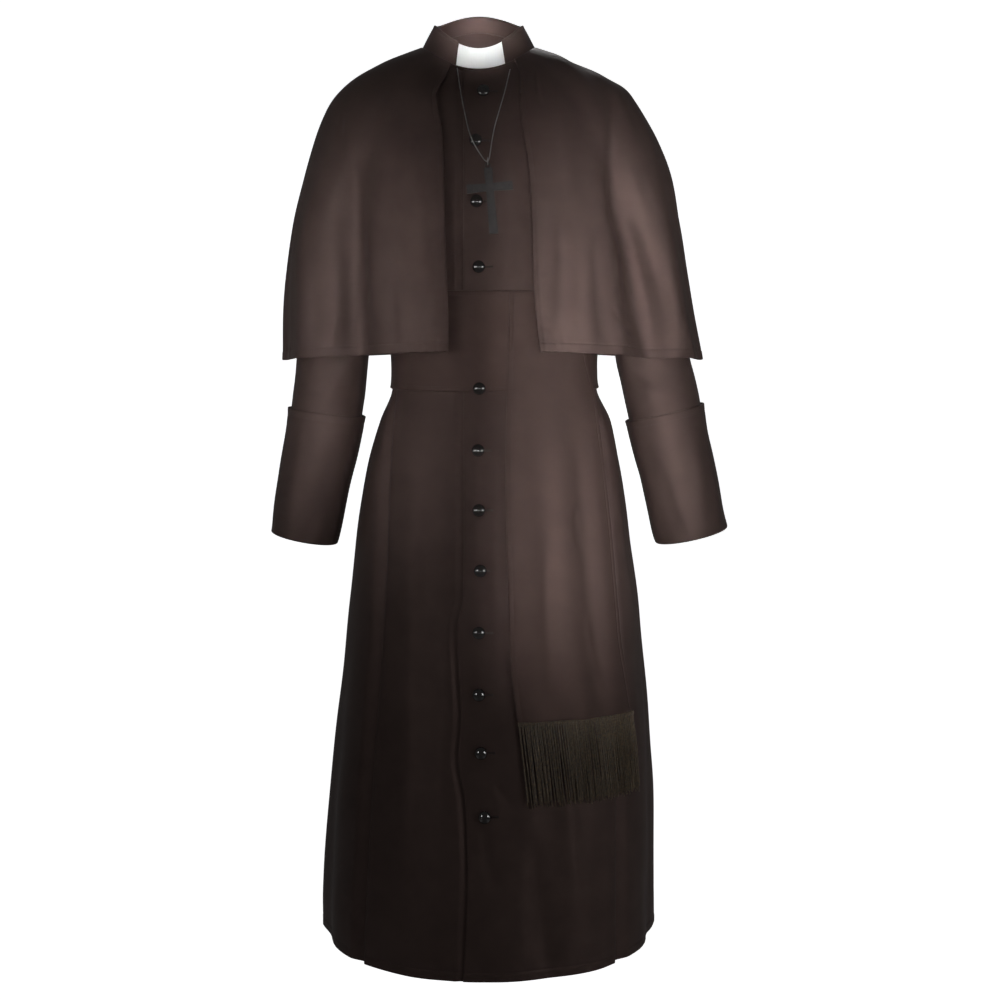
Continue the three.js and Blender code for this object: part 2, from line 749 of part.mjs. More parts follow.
const GORE_ACROSS = [
  -0.5, -0.375, -0.25, -0.125, 0, 0.1, 0.2, 0.3, 0.4, 0.5, 0.6, 0.7, 0.8, 0.9, 1,
  1.125, 1.25, 1.375, 1.5,
];
add("skirt_right_gore", wall(rightGore, GORE_ACROSS, SKIRT_LEVELS, CLOTH), "cloth");
add("skirt_left_gore", wall(leftGore, GORE_ACROSS, SKIRT_LEVELS, CLOTH), "cloth");

// Sleeves: each starts on the armhole's curve and hangs down the arm
function armRing(table, turn, station) {
  const row = tableRow(table, ARM_COLUMNS, station);
  const cosine = Math.cos(turn);
  return new THREE.Vector3(
    (row.outX + row.inX) / 2 + ((row.outX - row.inX) / 2) * cosine,
    row.y - row.deep * Math.sin(turn),
    (row.outZ + row.inZ) / 2 + ((row.outZ - row.inZ) / 2) * cosine,
  );
}

function armholePoint(way, turn) {
  const step = ARMHOLE_TOP + ((ARMHOLE_FOOT - ARMHOLE_TOP) * (1 - Math.cos(turn))) / 2;
  const open = armholeAngle(step);
  const angle = Math.sin(turn) >= 0 ? QUARTER - open : QUARTER + open;
  return bodyPoint(way * angle, step, SLEEVE_SEAM_LIFT);
}

function sleevePoint(table, way, turn, station) {
  const point = armRing(table, turn, station);
  const hold = 1 - clamp01(station);
  if (hold === 0) return point;
  const seam = armholePoint(way, turn).sub(armRing(table, turn, 0));
  return point.addScaledVector(seam, hold);
}

const SLEEVE_STATIONS = [0, 0.35, 1, 2, 3, 4.3, 5.6, 7, 8.2, 9.6, WRIST_STATION];
const SLEEVE_TURNS = spread(0, FULL, 17).slice(0, 16);
const rightSleeve = (turn, station) => sleevePoint(RIGHT_ARM, -1, turn, station);
const leftSleeve = (turn, station) => sleevePoint(LEFT_ARM, 1, turn, station);
const ROUND = { closed: true };
add("sleeve_right", wall(rightSleeve, SLEEVE_TURNS, SLEEVE_STATIONS, CLOTH, ROUND), "cloth");
add("sleeve_left", wall(leftSleeve, SLEEVE_TURNS, SLEEVE_STATIONS, CLOTH, ROUND), "cloth");

// Cuffs: turned back over the sleeve, with the folded foot closing in under the sleeve's end;
// down runs from the top station to the wrist and then by 1 round the foot
function cuffPoint(table, turn, down) {
  const surface = (a, b) => armRing(table, a, b);
  const station = Math.min(down, WRIST_STATION);
  const normal = outNormal(surface, turn, station, table);
  const share = (station - CUFF_TOP_STATION) / (WRIST_STATION - CUFF_TOP_STATION);
  const lift = CUFF_LIFT_TOP + (CUFF_LIFT_FOOT - CUFF_LIFT_TOP) * share;
  const round = clamp01(down - WRIST_STATION) * QUARTER;
  const axis = armRing(table, turn, WRIST_STATION).sub(armRing(table, turn, WRIST_STATION - WRIST_REACH));
  return surface(turn, station)
    .addScaledVector(normal, lift * Math.cos(round))
    .addScaledVector(axis.normalize(), CUFF_LIP * Math.sin(round));
}

function outNormal(surface, turn, station, table) {
  const inside = Math.min(station, WRIST_STATION * LAST_STEP);
  const normal = normalOf(surface, turn, inside);
  const row = tableRow(table, ARM_COLUMNS, inside);
  const middle = new THREE.Vector3((row.outX + row.inX) / 2, row.y, (row.outZ + row.inZ) / 2);
  const away = surface(turn, inside).sub(middle);
  return normal.dot(away) < 0 ? normal.negate() : normal;
}

const CUFF_DOWN = [CUFF_TOP_STATION, 8.2, 9.6, WRIST_STATION, WRIST_STATION + 0.45, WRIST_STATION + 1];
const rightCuff = (turn, down) => cuffPoint(RIGHT_ARM, turn, down);
const leftCuff = (turn, down) => cuffPoint(LEFT_ARM, turn, down);
add("cuff_right", wall(rightCuff, SLEEVE_TURNS, CUFF_DOWN, CUFF_CLOTH, ROUND), "cloth");
add("cuff_left", wall(leftCuff, SLEEVE_TURNS, CUFF_DOWN, CUFF_CLOTH, ROUND), "cloth");

// Collar: a stand band that is open at the front, with the white insert behind the opening
function collarBase(angle, up) {
  const row = {};
  for (const key of Object.keys(COLLAR_SEAM)) {
    row[key] = COLLAR_SEAM[key] + (COLLAR_RIM[key] - COLLAR_SEAM[key]) * up;
  }
  return ovalPoint(angle, row, 0);
}

function collarPoint(across, up) {
  const gap = COLLAR_GAP_SEAM + (COLLAR_GAP_RIM - COLLAR_GAP_SEAM) * up;
  return collarBase(INSERT_TURN + gap + (FULL - 2 * gap) * across, up);
}

function insertPoint(across, up) {
  const gap = COLLAR_GAP_SEAM + (COLLAR_GAP_RIM - COLLAR_GAP_SEAM) * up + INSERT_TUCK;
  const angle = INSERT_TURN + gap * (2 * across - 1);
  const normal = normalOf(collarBase, angle, up);
  const inward = normal.dot(new THREE.Vector3(Math.sin(angle), -Math.cos(angle), 0)) > 0 ? -1 : 1;
  return collarBase(angle, up).addScaledVector(normal, inward * INSERT_INSET);
}

add("collar_band", wall(collarPoint, spread(0, 1, 25), [0, 0.5, 1], COLLAR_CLOTH), "cloth");
add("collar_insert", wall(insertPoint, spread(0, 1, 9), [0, 0.5, 0.97], INSERT_CLOTH), "white");

// Shoulder cape: two fronts and a back, gathered by no seam but those on the shoulders
function capeRow(step) {
  return tableRow(CAPE, CAPE_COLUMNS, step);
}

function capeSquareness(step) {
  return CAPE_SQUARENESS * smooth(CAPE_SQUARE_FROM, CAPE_SQUARE_FULL, step);
}

function capeBase(angle, step) {
  return ovalPoint(angle, capeRow(step), capeSquareness(step));
}

function capeFoldLift(angle, step) {
  let lift = 0;
  for (const entry of CAPE_FOLDS) {
    const fold = named(CAPE_FOLD_COLUMNS, entry);
    const centre = fold.topAngle + (fold.hemAngle - fold.topAngle) * step;
    const away = turnBetween(angle, centre * DEGREE) / DEGREE;
    lift += fold.height * bell(away / fold.width) * smooth(fold.start, 1, step);
  }
  return lift;
}

function capePoint(angle, step) {
  const normal = normalOf(capeBase, angle, Math.min(step, LAST_STEP)).negate();
  return capeBase(angle, step).addScaledVector(normal, capeFoldLift(angle, step));
}

function capeEdgeAngle(edge, step) {
  const row = capeRow(step);
  return angleAtX(row[edge], row, capeSquareness(step));
}

function capeRightFront(across, step) {
  const from = -CAPE_SEAM_ANGLE;
  return capePoint(from + (capeEdgeAngle("right", step) - from) * across, step);
}

function capeLeftFront(across, step) {
  const from = capeEdgeAngle("left", step);
  return capePoint(from + (CAPE_SEAM_ANGLE - from) * across, step);
}

function capeBack(across, step) {
  return capePoint(CAPE_SEAM_ANGLE + (FULL - 2 * CAPE_SEAM_ANGLE) * across, step);
}

const CAPE_STEPS = [0, 0.08, 0.16, 0.24, 0.31, 0.38, 0.46, 0.55, 0.65, 0.76, 0.88, 1];
add("cape_right_front", wall(capeRightFront, spread(0, 1, 20), CAPE_STEPS, CLOTH), "cloth");
add("cape_left_front", wall(capeLeftFront, spread(0, 1, 20), CAPE_STEPS, CLOTH), "cloth");
add("cape_back", wall(capeBack, spread(0, 1, 23), CAPE_STEPS, CLOTH), "cloth");

// Waist band, closed under the sash end
function bandPoint(angle, z) {
  return skirtPoint(angle, z, BAND_LIFT);
}

const BAND_LEVELS = [BAND_TOP_Z, -372, WAIST_SEAM_Z, BAND_FOOT_Z];
const BAND_ANGLES = spread(0, FULL, 37).slice(0, 36);
add("waist_band", wall(bandPoint, BAND_ANGLES, BAND_LEVELS, BAND_CLOTH, ROUND), "band");

// Sash end: hangs over the band from its upper edge
function tailAngle(across, z) {
  const row = tableRow(TAIL, TAIL_COLUMNS, z);
  const from = skirtAngleAtX(row.right, z);
  return from + (skirtAngleAtX(row.left, z) - from) * across;
}

function tailFoldLift(across, z) {
  let lift = 0;
  for (const entry of TAIL_FOLDS) {
    const fold = named(TAIL_FOLD_COLUMNS, entry);
    const grown = smooth(fold.topZ, fold.topZ - TAIL_FOLD_GROWTH, z);
    lift += fold.height * bell((across - fold.across) / fold.width) * grown;
  }
  return lift;
}

function tailPoint(across, z) {
  return skirtPoint(tailAngle(across, z), z, TAIL_LIFT + tailFoldLift(across, z));
}

const TAIL_FOOT_Z = TAIL[0][0];
const TAIL_LEVELS = [-341, -372, WAIST_SEAM_Z, -478, ...spread(-524, TAIL_FOOT_Z, 10)];
const TAIL_ACROSS = [0, 0.1, 0.21, 0.32, 0.41, 0.5, 0.59, 0.68, 0.77, 0.88, 1];
add("sash_tail", wall(tailPoint, TAIL_ACROSS, TAIL_LEVELS, CLOTH), "cloth");

// Fringe: a narrow header under the sash end, with the strands' roots fused into it
function unevenness(seed) {
  const value = Math.sin(seed * 12.9898) * 43758.5453;
  return value - Math.floor(value);
}

function fringePoint(across, drop, lift) {
  const z = TAIL_FOOT_Z - drop;
  const slant = FRINGE_SLANT_RIGHT + (FRINGE_SLANT_LEFT - FRINGE_SLANT_RIGHT) * across;
  const turn = (slant * drop) / (FRINGE_DROP * arcScale(z, 0));
  const angle = tailAngle(across, TAIL_FOOT_Z) + turn;
  return skirtPoint(angle, z, lift);
}

const headerMiddle = (FRINGE_LAYERS[0].lift + FRINGE_LAYERS[1].lift) / 2;
const header = wall(
  (across, drop) => fringePoint(across, drop, headerMiddle),
  spread(0, 1, 11),
  [REST_GAP, REST_GAP + FRINGE_HEADER],
  FRINGE_DEPTH,
  { pull: 0 },
);

function strand(across, lift, width, seed) {
  const length = FRINGE_DROP - FRINGE_UNEVEN * unevenness(seed);
  const sway = (unevenness(seed + 0.5) - 0.5) * FRINGE_SWAY;
  const drops = [REST_GAP + FRINGE_HEADER / 2, length * 0.5, length];
  const positions = [];
  drops.forEach((drop, ring) => {
    const centre = fringePoint(across + (sway * ring) / 2, drop, lift);
    for (let side = 0; side < STRAND_SIDES; side += 1) {
      const turn = (side / STRAND_SIDES + unevenness(seed + 0.25)) * FULL;
      positions.push(
        centre.x + (width / 2) * Math.cos(turn),
        centre.y + (width / 2) * Math.sin(turn),
        centre.z,
      );
    }
  });
  const faces = [0, 2, 1, 6, 7, 8];
  for (let ring = 0; ring < 2; ring += 1) {
    for (let side = 0; side < STRAND_SIDES; side += 1) {
      const a = STRAND_SIDES * ring + side;
      const b = STRAND_SIDES * ring + ((side + 1) % STRAND_SIDES);
      faces.push(a, b, b + STRAND_SIDES, a, b + STRAND_SIDES, a + STRAND_SIDES);
    }
  }
  return outward(positions, faces);
}

let fringe = solidOf(header);
FRINGE_LAYERS.forEach((layer, number) => {
  for (let i = 0; i < layer.count; i += 1) {
    const across = (i + 0.5) / layer.count;
    fringe = fringe.add(solidOf(strand(across, layer.lift, layer.width, number * 100 + i + 1)));
  }
});
add("sash_fringe", geometryOf(fringe), "fringe");

// Buttons: domed, each on a short shank, standing square on the cloth
const buttonProfile = [
  [0, 0],
  [SHANK_RADIUS, 0],
  [SHANK_RADIUS, SHANK_LENGTH],
  [BUTTON_RADIUS - BUTTON_RIM, SHANK_LENGTH + BUTTON_RIM],
  [BUTTON_RADIUS, BUTTON_HEIGHT * DOME_HEIGHTS[0]],
  [BUTTON_RADIUS * DOME_SHOULDER, BUTTON_HEIGHT * DOME_HEIGHTS[1]],
  [0, BUTTON_HEIGHT],
].map(([radius, height]) => new THREE.Vector2(radius, height));
const buttonShape = new THREE.LatheGeometry(buttonProfile, BUTTON_SIDES);
const UP = new THREE.Vector3(0, 1, 0);

BUTTONS.forEach((entry, i) => {
  const { z, x } = named(BUTTON_COLUMNS, entry);
  const seat = i === BAND_BUTTON ? BAND_LIFT + BAND_CLOTH / 2 : CLOTH / 2;
  const base = frontPoint(x, z, seat + REST_GAP);
  const normal = frontPoint(x, z, seat + REST_GAP + 1).sub(base).normalize();
  const button = add(`button_${String(i + 1).padStart(2, "0")}`, buttonShape.clone(), "button");
  button.position.copy(base);
  button.quaternion.setFromUnitVectors(UP, normal);
});

// Chain: one run from the collar seam down through the ring and up again
const chainPoints = CHAIN.map((entry) => {
  const { x, z, lift } = named(CHAIN_COLUMNS, entry);
  return frontPoint(x, z, lift);
});
const chainPath = new THREE.CatmullRomCurve3(chainPoints, false, "centripetal");
const chainSection = new THREE.Shape();
for (let side = 0; side < CORD_SIDES; side += 1) {
  const turn = (side / CORD_SIDES) * FULL;
  const reach = CHAIN_DIAMETER / 2;
  const corner = [reach * Math.cos(turn), reach * Math.sin(turn)];
  if (side === 0) chainSection.moveTo(...corner);
  else chainSection.lineTo(...corner);
}
chainSection.closePath();
const chainRun = { steps: CHAIN_STEPS, extrudePath: chainPath };
add("neck_chain", new THREE.ExtrudeGeometry(chainSection, chainRun), "chain");

// Ring: hangs edge-on round the chain's lowest point; the cross's eye hangs in the ring
const chainRings = chainPath.getSpacedPoints(CHAIN_STEPS);
const lowPoint = chainRings.reduce((low, point) => (point.z < low.z ? point : low));
const ringDrop = RING_RADIUS - WIRE_RADIUS - CHAIN_DIAMETER / 2 - CHAIN_SLACK;
const ringShape = new THREE.TorusGeometry(RING_RADIUS, WIRE_RADIUS, WIRE_SIDES, WIRE_STEPS);
const ring = add("cross_ring", ringShape, "chain");
ring.position.set(lowPoint.x, lowPoint.y, lowPoint.z - ringDrop);
ring.rotation.set(0, QUARTER, 0);

// Cross: flat arms that widen a little to their ends, with the eye on top
function crossOutline() {
  const top = -EYE_RADIUS;
  const arm = top - CROSS_ARM_DROP;
  const foot = top - CROSS_HEIGHT;
  const waist = CROSS_WAIST / 2;
  const end = CROSS_END / 2;
  const reachX = CROSS_SPAN / 2;
  const outline = new THREE.Shape();
  outline.moveTo(-end, top);
  outline.lineTo(-waist, arm + waist);
  outline.lineTo(-reachX, arm + end);
  outline.lineTo(-reachX, arm - end);
  outline.lineTo(-waist, arm - waist);
  outline.lineTo(-end, foot);
  outline.lineTo(end, foot);
  outline.lineTo(waist, arm - waist);
  outline.lineTo(reachX, arm - end);
  outline.lineTo(reachX, arm + end);
  outline.lineTo(waist, arm + waist);
  outline.lineTo(end, top);
  outline.closePath();
  return outline;
}

const plate = new THREE.ExtrudeGeometry(crossOutline(), { depth: CROSS_DEPTH, bevelEnabled: false });
plate.translate(0, 0, -CROSS_DEPTH / 2);
plate.rotateX(QUARTER);
const eye = new THREE.TorusGeometry(EYE_RADIUS, WIRE_RADIUS, WIRE_SIDES, WIRE_STEPS);
eye.rotateX(QUARTER);
const pendant = add("cross_pendant", geometryOf(solidOf(plate).add(solidOf(eye))), "cross");
const eyeDrop = ringDrop + RING_RADIUS - 2 * WIRE_RADIUS - LINK_GAP + EYE_RADIUS;
pendant.position.set(lowPoint.x, lowPoint.y, lowPoint.z - eyeDrop);
pendant.rotation.set(CROSS_LEAN, CROSS_TILT, 0);

export default costume;
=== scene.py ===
"""Looks of the priest's costume: fine cloth on the solids' forms, its sewing, and its hard trim.

Forms and tables are in millimetres and become metres where a mesh is made.
X is the wearer's left, Y points to the back and Z is up.
"""

import math

import bpy
import numpy as np
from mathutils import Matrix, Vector


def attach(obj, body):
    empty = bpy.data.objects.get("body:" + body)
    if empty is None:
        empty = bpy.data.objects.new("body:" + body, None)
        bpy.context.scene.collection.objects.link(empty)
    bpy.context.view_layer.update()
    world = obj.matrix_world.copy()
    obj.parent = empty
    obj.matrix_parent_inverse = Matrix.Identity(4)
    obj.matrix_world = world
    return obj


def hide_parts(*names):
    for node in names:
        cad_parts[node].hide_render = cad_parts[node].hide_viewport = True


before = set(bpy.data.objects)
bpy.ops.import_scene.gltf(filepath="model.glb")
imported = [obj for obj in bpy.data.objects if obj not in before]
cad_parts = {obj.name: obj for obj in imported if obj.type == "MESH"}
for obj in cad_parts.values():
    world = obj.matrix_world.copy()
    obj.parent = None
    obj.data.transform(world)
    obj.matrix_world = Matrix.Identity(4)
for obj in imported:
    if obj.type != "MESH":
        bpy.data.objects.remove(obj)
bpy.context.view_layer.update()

MM = 0.001
DEGREE = math.pi / 180
QUARTER = math.pi / 2
HALF = math.pi
FULL = 2 * math.pi
GARMENT = "garment"

# Camera
CAMERA_PLACE = (29, -2700, -365.14)
CAMERA_PITCH = 5.826 * DEGREE
CAMERA_LENS = 67.03

camera_data = bpy.data.cameras.new("camera")
camera_data.lens = CAMERA_LENS
camera_data.sensor_width = 36
camera = bpy.data.objects.new("camera", camera_data)
camera.location = [value * MM for value in CAMERA_PLACE]
camera.rotation_euler = (QUARTER - CAMERA_PITCH, 0, 0)
bpy.context.collection.objects.link(camera)
bpy.context.scene.camera = camera

# Cloth
CLOTH = 1.8
BAND_CLOTH = 2.4
CUFF_CLOTH = 2.6
INSERT_CLOTH = 1.2
COLLAR_CLOTH = 2.2
BODY_MIDDLE = (15, 0)
NECK_MIDDLE = (0, 0)
SEAM_PULL = 0.9
LAP_STEP = 3.0
LAP_BLEND = 13
LAP_CLEAR = 3
UNDERLAP_X = 22
BODICE_LAP_X = -21
HEM_FOLD = 13
FRONT_FOLD = 7
BAND_FOLD = 6
TAIL_FOLD = 5

# The body form, a row for each section from the neckline down to the waist seam
BODY_SQUARENESS = 0.03
WAIST_SEAM_Z = -406
BODY_COLUMNS = ("step", "side", "sideZ", "front", "frontZ", "back", "backZ", "centre")
BODY = [
    (0.0, 78.5, 2.4, 75, -35.4, 65.6, 35.1, -1),
    (0.11, 112, -13, 90, -62, 84, 12, 0),
    (0.23, 146, -33, 101, -95, 97, -25, 2),
    (0.34, 164, -55, 108, -128, 104, -70, 4),
    (0.47, 168, -95, 114, -165, 108, -115, 6),
    (0.6, 165, -145, 119, -208, 108, -162, 9),
    (0.74, 160, -210, 122, -255, 105, -220, 12),
    (0.87, 153, -290, 125, -315, 101, -300, 16),
    (1.0, 146, -406, 126, -406, 98, -406, 20),
]
ARMHOLE_TOP = 0.34
ARMHOLE_FOOT = 0.74
ARMHOLE_DEPTH = 27 * DEGREE
ARMHOLE_ROUNDNESS = 0.75

# The skirt form, a row for each height
SKIRT_SQUARENESS = 0.03
HEM_FRONT_Z = -1291
HEM_SIDE_RISE = 13
HEM_RISE_START_Z = -900
SKIRT_COLUMNS = ("z", "side", "centre", "front", "back")
SKIRT = [
    (-1300, 241, 12, 205, 214),
    (-1240, 241, 12, 202, 210),
    (-1150, 238, 15, 196, 203),
    (-1060, 234, 17, 189, 195),
    (-970, 227, 19, 181, 185),
    (-880, 218, 20, 172, 173),
    (-790, 210, 20, 163, 160),
    (-700, 199, 19, 153, 146),
    (-641, 191, 19, 147, 136),
    (-582, 181, 20, 140, 125),
    (-524, 166, 23, 133, 112),
    (-480, 147, 21, 127, 100),
    (-406, 146, 20, 126, 98),
    (-330, 151, 17.6, 125.4, 100.3),
]
LAP_EDGE_COLUMNS = ("z", "x")
LAP_EDGE = [
    (-1291, -22), (-1190, -17), (-1130, -16), (-1040, -20), (-985, -29), (-925, -25),
    (-870, -28), (-800, -30), (-760, -22), (-480, -21), (-345, -20), (-130, -21), (-30, -20),
]
FOLD_COLUMNS = ("z", "right", "left", "backRight", "backLeft")
FOLDS = [
    (-1300, -162, 190, -160, 186),
    (-1211, -158, 190, -156, 184),
    (-1060, -150, 190, -150, 182),
    (-944, -142, 188, -143, 180),
    (-831, -133, 183, -136, 175),
    (-707, -127, 173, -128, 168),
    (-645, -125, 167, -124, 164),
    (-523, -120, 160, -118, 158),
    (-478, -117, 157, -112, 152),
    (-406, -116, 156, -110, 150),
]
FOLD_RADIUS = 2.0
FOLD_UNDERLAY = 20
GORE_RADIUS = 2.15
GORE_INSET = 8.3
GORE_CLEAR = 4
GORE_MIDDLE = 17
GORE_RISE = 34

# Flutes of the skirt: angle round the body, half width, depth at the hem, height of the start
FLUTES = [
    (-24, 9, 2.5, -760),
    (22, 10, -4, -980),
    (34, 9, 4, -980),
    (78, 9, -6, -560),
    (96, 9, 7, -560),
    (-76, 9, -6, -560),
    (-95, 9, 7, -560),
    (146, 11, 7, -640),
    (165, 10, -7, -640),
    (184, 11, 8, -640),
    (205, 11, -7, -640),
    (224, 10, 6, -640),
]

# Collar
COLLAR_COLUMNS = ("side", "sideZ", "front", "frontZ", "back", "backZ", "centre")
COLLAR_SEAM = (79, 4, 75.5, -33.5, 66, 36.5, -1)
COLLAR_RIM = (62, 36, 60, -1, 61, 58, -1)
COLLAR_GAP_SEAM = 26 * DEGREE
COLLAR_GAP_RIM = 29 * DEGREE
INSERT_TURN = 2.5 * DEGREE
INSERT_TUCK = 6 * DEGREE
INSERT_INSET = 2.4
COLLAR_STITCH = 0.88

# Shoulder cape, a row for each ring from the collar seam to the hem
CAPE_COLUMNS = (
    "step", "side", "sideZ", "front", "frontZ", "back", "backZ", "centre", "right", "left",
)
CAPE = [
    (0.0, 80.9, 5, 77.6, -31.5, 67.9, 38.6, -1, -38, 49),
    (0.08, 112, -6, 93, -54, 86, 22, 0, -46, 56),
    (0.16, 145, -21, 104, -76, 99, -3, 0, -57, 56),
    (0.24, 176, -36, 112, -100, 110, -33, 3, -56, 57),
    (0.31, 200, -52, 118, -124, 117, -64, 6, -51, 60),
    (0.38, 216, -71, 123, -150, 122, -96, 6, -49, 64),
    (0.46, 231, -97, 127, -180, 126, -131, 8, -48, 68),
    (0.55, 246, -131, 131, -215, 130, -173, 10, -47, 70.6),
    (0.65, 262, -177, 135, -258, 134, -223, 11, -46, 72.5),
    (0.76, 277, -242, 139, -308, 138, -281, 9, -44, 74),
    (0.88, 288, -321, 142, -362, 142, -349, 9, -42, 77),
    (1.0, 301, -437, 145, -422, 146, -432, 16, -41.5, 84),
]
CAPE_SQUARENESS = 0.05
CAPE_SQUARE_FROM = 0.2
CAPE_SQUARE_FULL = 0.7
CAPE_SEAM_ANGLE = 96 * DEGREE

# Folds of the cape: angle at the collar, angle at the hem, half width, height, step of the start
CAPE_FOLDS = [
    (-24, -22, 9, 5, 0.45),
    (-47, -38, 6, -24, 0.12),
    (-62, -54, 8, 11, 0.35),
    (-80, -76, 8, -5, 0.55),
    (24, 24, 9, 5, 0.4),
    (40, 46, 6.5, -25, 0.1),
    (57, 62, 7, 10, 0.35),
    (74, 76, 7, 5, 0.55),
    (118, 116, 9, 8, 0.5),
    (138, 137, 9, -8, 0.5),
    (160, 158, 10, 9, 0.5),
    (182, 180, 10, -8, 0.5),
    (204, 203, 10, 9, 0.5),
    (224, 225, 9, -8, 0.5),
    (242, 244, 9, 8, 0.5),
]

# Waist band and sash end
BAND_TOP_Z = -339
BAND_FOOT_Z = -477
BAND_LIFT = 3.1
TAIL_COLUMNS = ("z", "right", "left")
TAIL = [
    (-931, 53, 211),
    (-885, 47, 203),
    (-828, 43, 194),
    (-740, 40, 186),
    (-672, 38, 180),
    (-576, 37, 169),
    (-500, 38, 159),
    (-430, 40, 144),
    (-341, 42, 132),
]
TAIL_FOOT_Z = -931
TAIL_TOP_Z = -341
TAIL_LIFT = 6.7
TAIL_FOLD_GROWTH = 140
TAIL_FOLDS = [
    (0.12, 0.1, 1.6, -470),
    (0.32, 0.09, -2.0, -560),
    (0.5, 0.09, 2.2, -480),
    (0.68, 0.07, -2.2, -500),
    (0.86, 0.09, 1.8, -480),
]

# Fringe
FRINGE_DROP = 114
FRINGE_SLANT_RIGHT = 14
FRINGE_SLANT_LEFT = 9
FRINGE_UNEVEN = 10

# Sleeves and cuffs
ARM_COLUMNS = ("station", "outX", "outZ", "inX", "inZ", "y", "deep")
RIGHT_ARM = [
    (0, -164, -52, -149, -210, 3, 55),
    (1, -203, -79, -151, -219, 5, 61),
    (2, -229, -130, -153, -229, 6, 63),
    (3, -246, -200, -155, -251, 7, 62),
    (4, -255, -290, -157, -306, 8, 62),
    (5, -261, -390, -160, -394, 5, 62),
    (6, -264, -437, -163, -441, 2, 61),
    (7, -270, -490, -169, -500, -4, 60),
    (8, -276, -543, -180, -561, -9, 59),
    (9, -286, -601, -194, -619, -14, 57),
    (10, -294, -659, -206, -677, -18, 55),
    (11, -297, -682, -211, -699, -20, 54),
]
LEFT_ARM = [
    (0, 168, -52, 172, -210, 3, 55),
    (1, 214, -82, 176, -219, 5, 61),
    (2, 244, -132, 178, -230, 6, 63),
    (3, 267, -200, 181, -252, 7, 62),
    (4, 280, -290, 185, -308, 8, 62),
    (5, 296, -388, 193, -398, 5, 62),
    (6, 303, -432, 199, -443, 2, 61),
    (7, 315, -483, 213, -507, -4, 60),
    (8, 324, -541, 226, -563, -9, 59),
    (9, 337, -599, 241, -621, -14, 58),
    (10, 348, -657, 254, -679, -18, 57),
    (11, 353, -676, 259, -698, -20, 56),
]
CUFF_TOP_STATION = 7.3
WRIST_STATION = 11
CUFF_LIFT_TOP = 4.8
CUFF_LIFT_FOOT = 3.8
CUFF_LIP = 1.9
CUFF_STITCH = 0.17
WRIST_REACH = 0.5
SLEEVE_SEAM_LIFT = 2.2

# Buttons, chain and cross
BUTTONS = [
    (-66, 6), (-134, -4), (-217, -3), (-306, 0), (-473, 1), (-558, -1),
    (-640, 0), (-723, 2), (-808, 0), (-893, 0), (-973, 3), (-1061, 8),
]
BAND_BUTTON = 4
REST_GAP = 0.35
BUTTON_PROFILE = [
    (0, 0), (2.3, 0), (2.3, 1.7), (4.5, 1.9), (7.6, 2.1), (8.3, 2.35), (8.65, 2.9), (8.7, 3.5),
    (8.5, 4.15), (7.9, 4.9), (6.9, 5.65), (5.6, 6.3), (4.1, 6.85), (2.5, 7.25), (1.1, 7.45), (0, 7.5),
]
CHAIN = [
    (-30, -34, 2.2), (-27, -55, 2.2), (-24, -73, 2.2), (-19, -98, 2.4), (-14.5, -118, 5.4),
    (-9, -135, 9.6), (-2.5, -147, 8.2), (4, -157, 7.2), (7.8, -162, 6.9), (10.5, -163.5, 6.9),
    (13.2, -162, 6.9), (15.5, -151, 5.8), (18, -134, 3.2), (21.5, -116, 2.3), (27, -96, 2.2),
    (35, -68, 2.2), (42.5, -36, 2.2),
]
LINK_LENGTH = 3.3
LINK_WIRE = 0.5
LINK_WIDTH = 1.75
LINK_PLAY = 0.1

# Soft uneven ground of each piece: height, seed, length of the waves round and down
GROUNDS = {
    "skirt": (0.7, 21, 70, 190),
    "bodice": (0.35, 11, 60, 110),
    "sleeve": (0.6, 31, 60, 80),
    "cuff": (0.4, 32, 50, 80),
    "cape": (0.9, 51, 70, 120),
    "band": (0.3, 61, 90, 40),
    "tail": (0.3, 71, 40, 120),
}

# Creases: the X and Z of both ends, how far the middle bows sideways, half width and height
BODICE_CREASES = [
    (-2, -50, -17, -106, 3, 6, 1.3),
    (12, -92, 26, -190, -4, 9, -1.0),
    (30, -215, 10, -300, 4, 9, 1.2),
    (-12, -235, 18, -262, 2, 6, -0.9),
    (52, -120, 44, -300, 3, 10, 1.2),
    (-36, -150, -40, -320, -3, 8, 1.1),
]
SKIRT_CREASES = [
    (0, -490, -2, -720, 3, 7, 1.3),
    (22, -1012, 50, -1046, 4, 6, -1.4),
    (8, -1075, 26, -1170, 4, 10, -1.6),
    (-62, -560, -78, -980, 6, 22, -2.4),
    (-92, -640, -110, -1200, -8, 20, 2.2),
    (-44, -840, -56, -1240, 5, 18, 1.8),
    (26, -520, 24, -900, 2, 9, 1.4),
    (182, -520, 200, -690, 5, 10, 2.0),
    (186, -760, 214, -1160, 6, 14, -2.4),
    (120, -980, 128, -1280, -6, 16, 2.6),
    (76, -1080, 92, -1285, 6, 18, -2.6),
]
BACK_SKIRT_CREASES = [
    (-60, -470, -78, -760, 5, 12, 2.0),
    (-10, -450, -16, -900, -6, 14, -2.0),
    (52, -480, 64, -820, 4, 12, 2.0),
    (98, -560, 112, -1100, 6, 16, -2.4),
    (-100, -620, -120, -1200, -5, 16, 2.4),
    (20, -900, 34, -1270, 6, 16, 2.2),
]
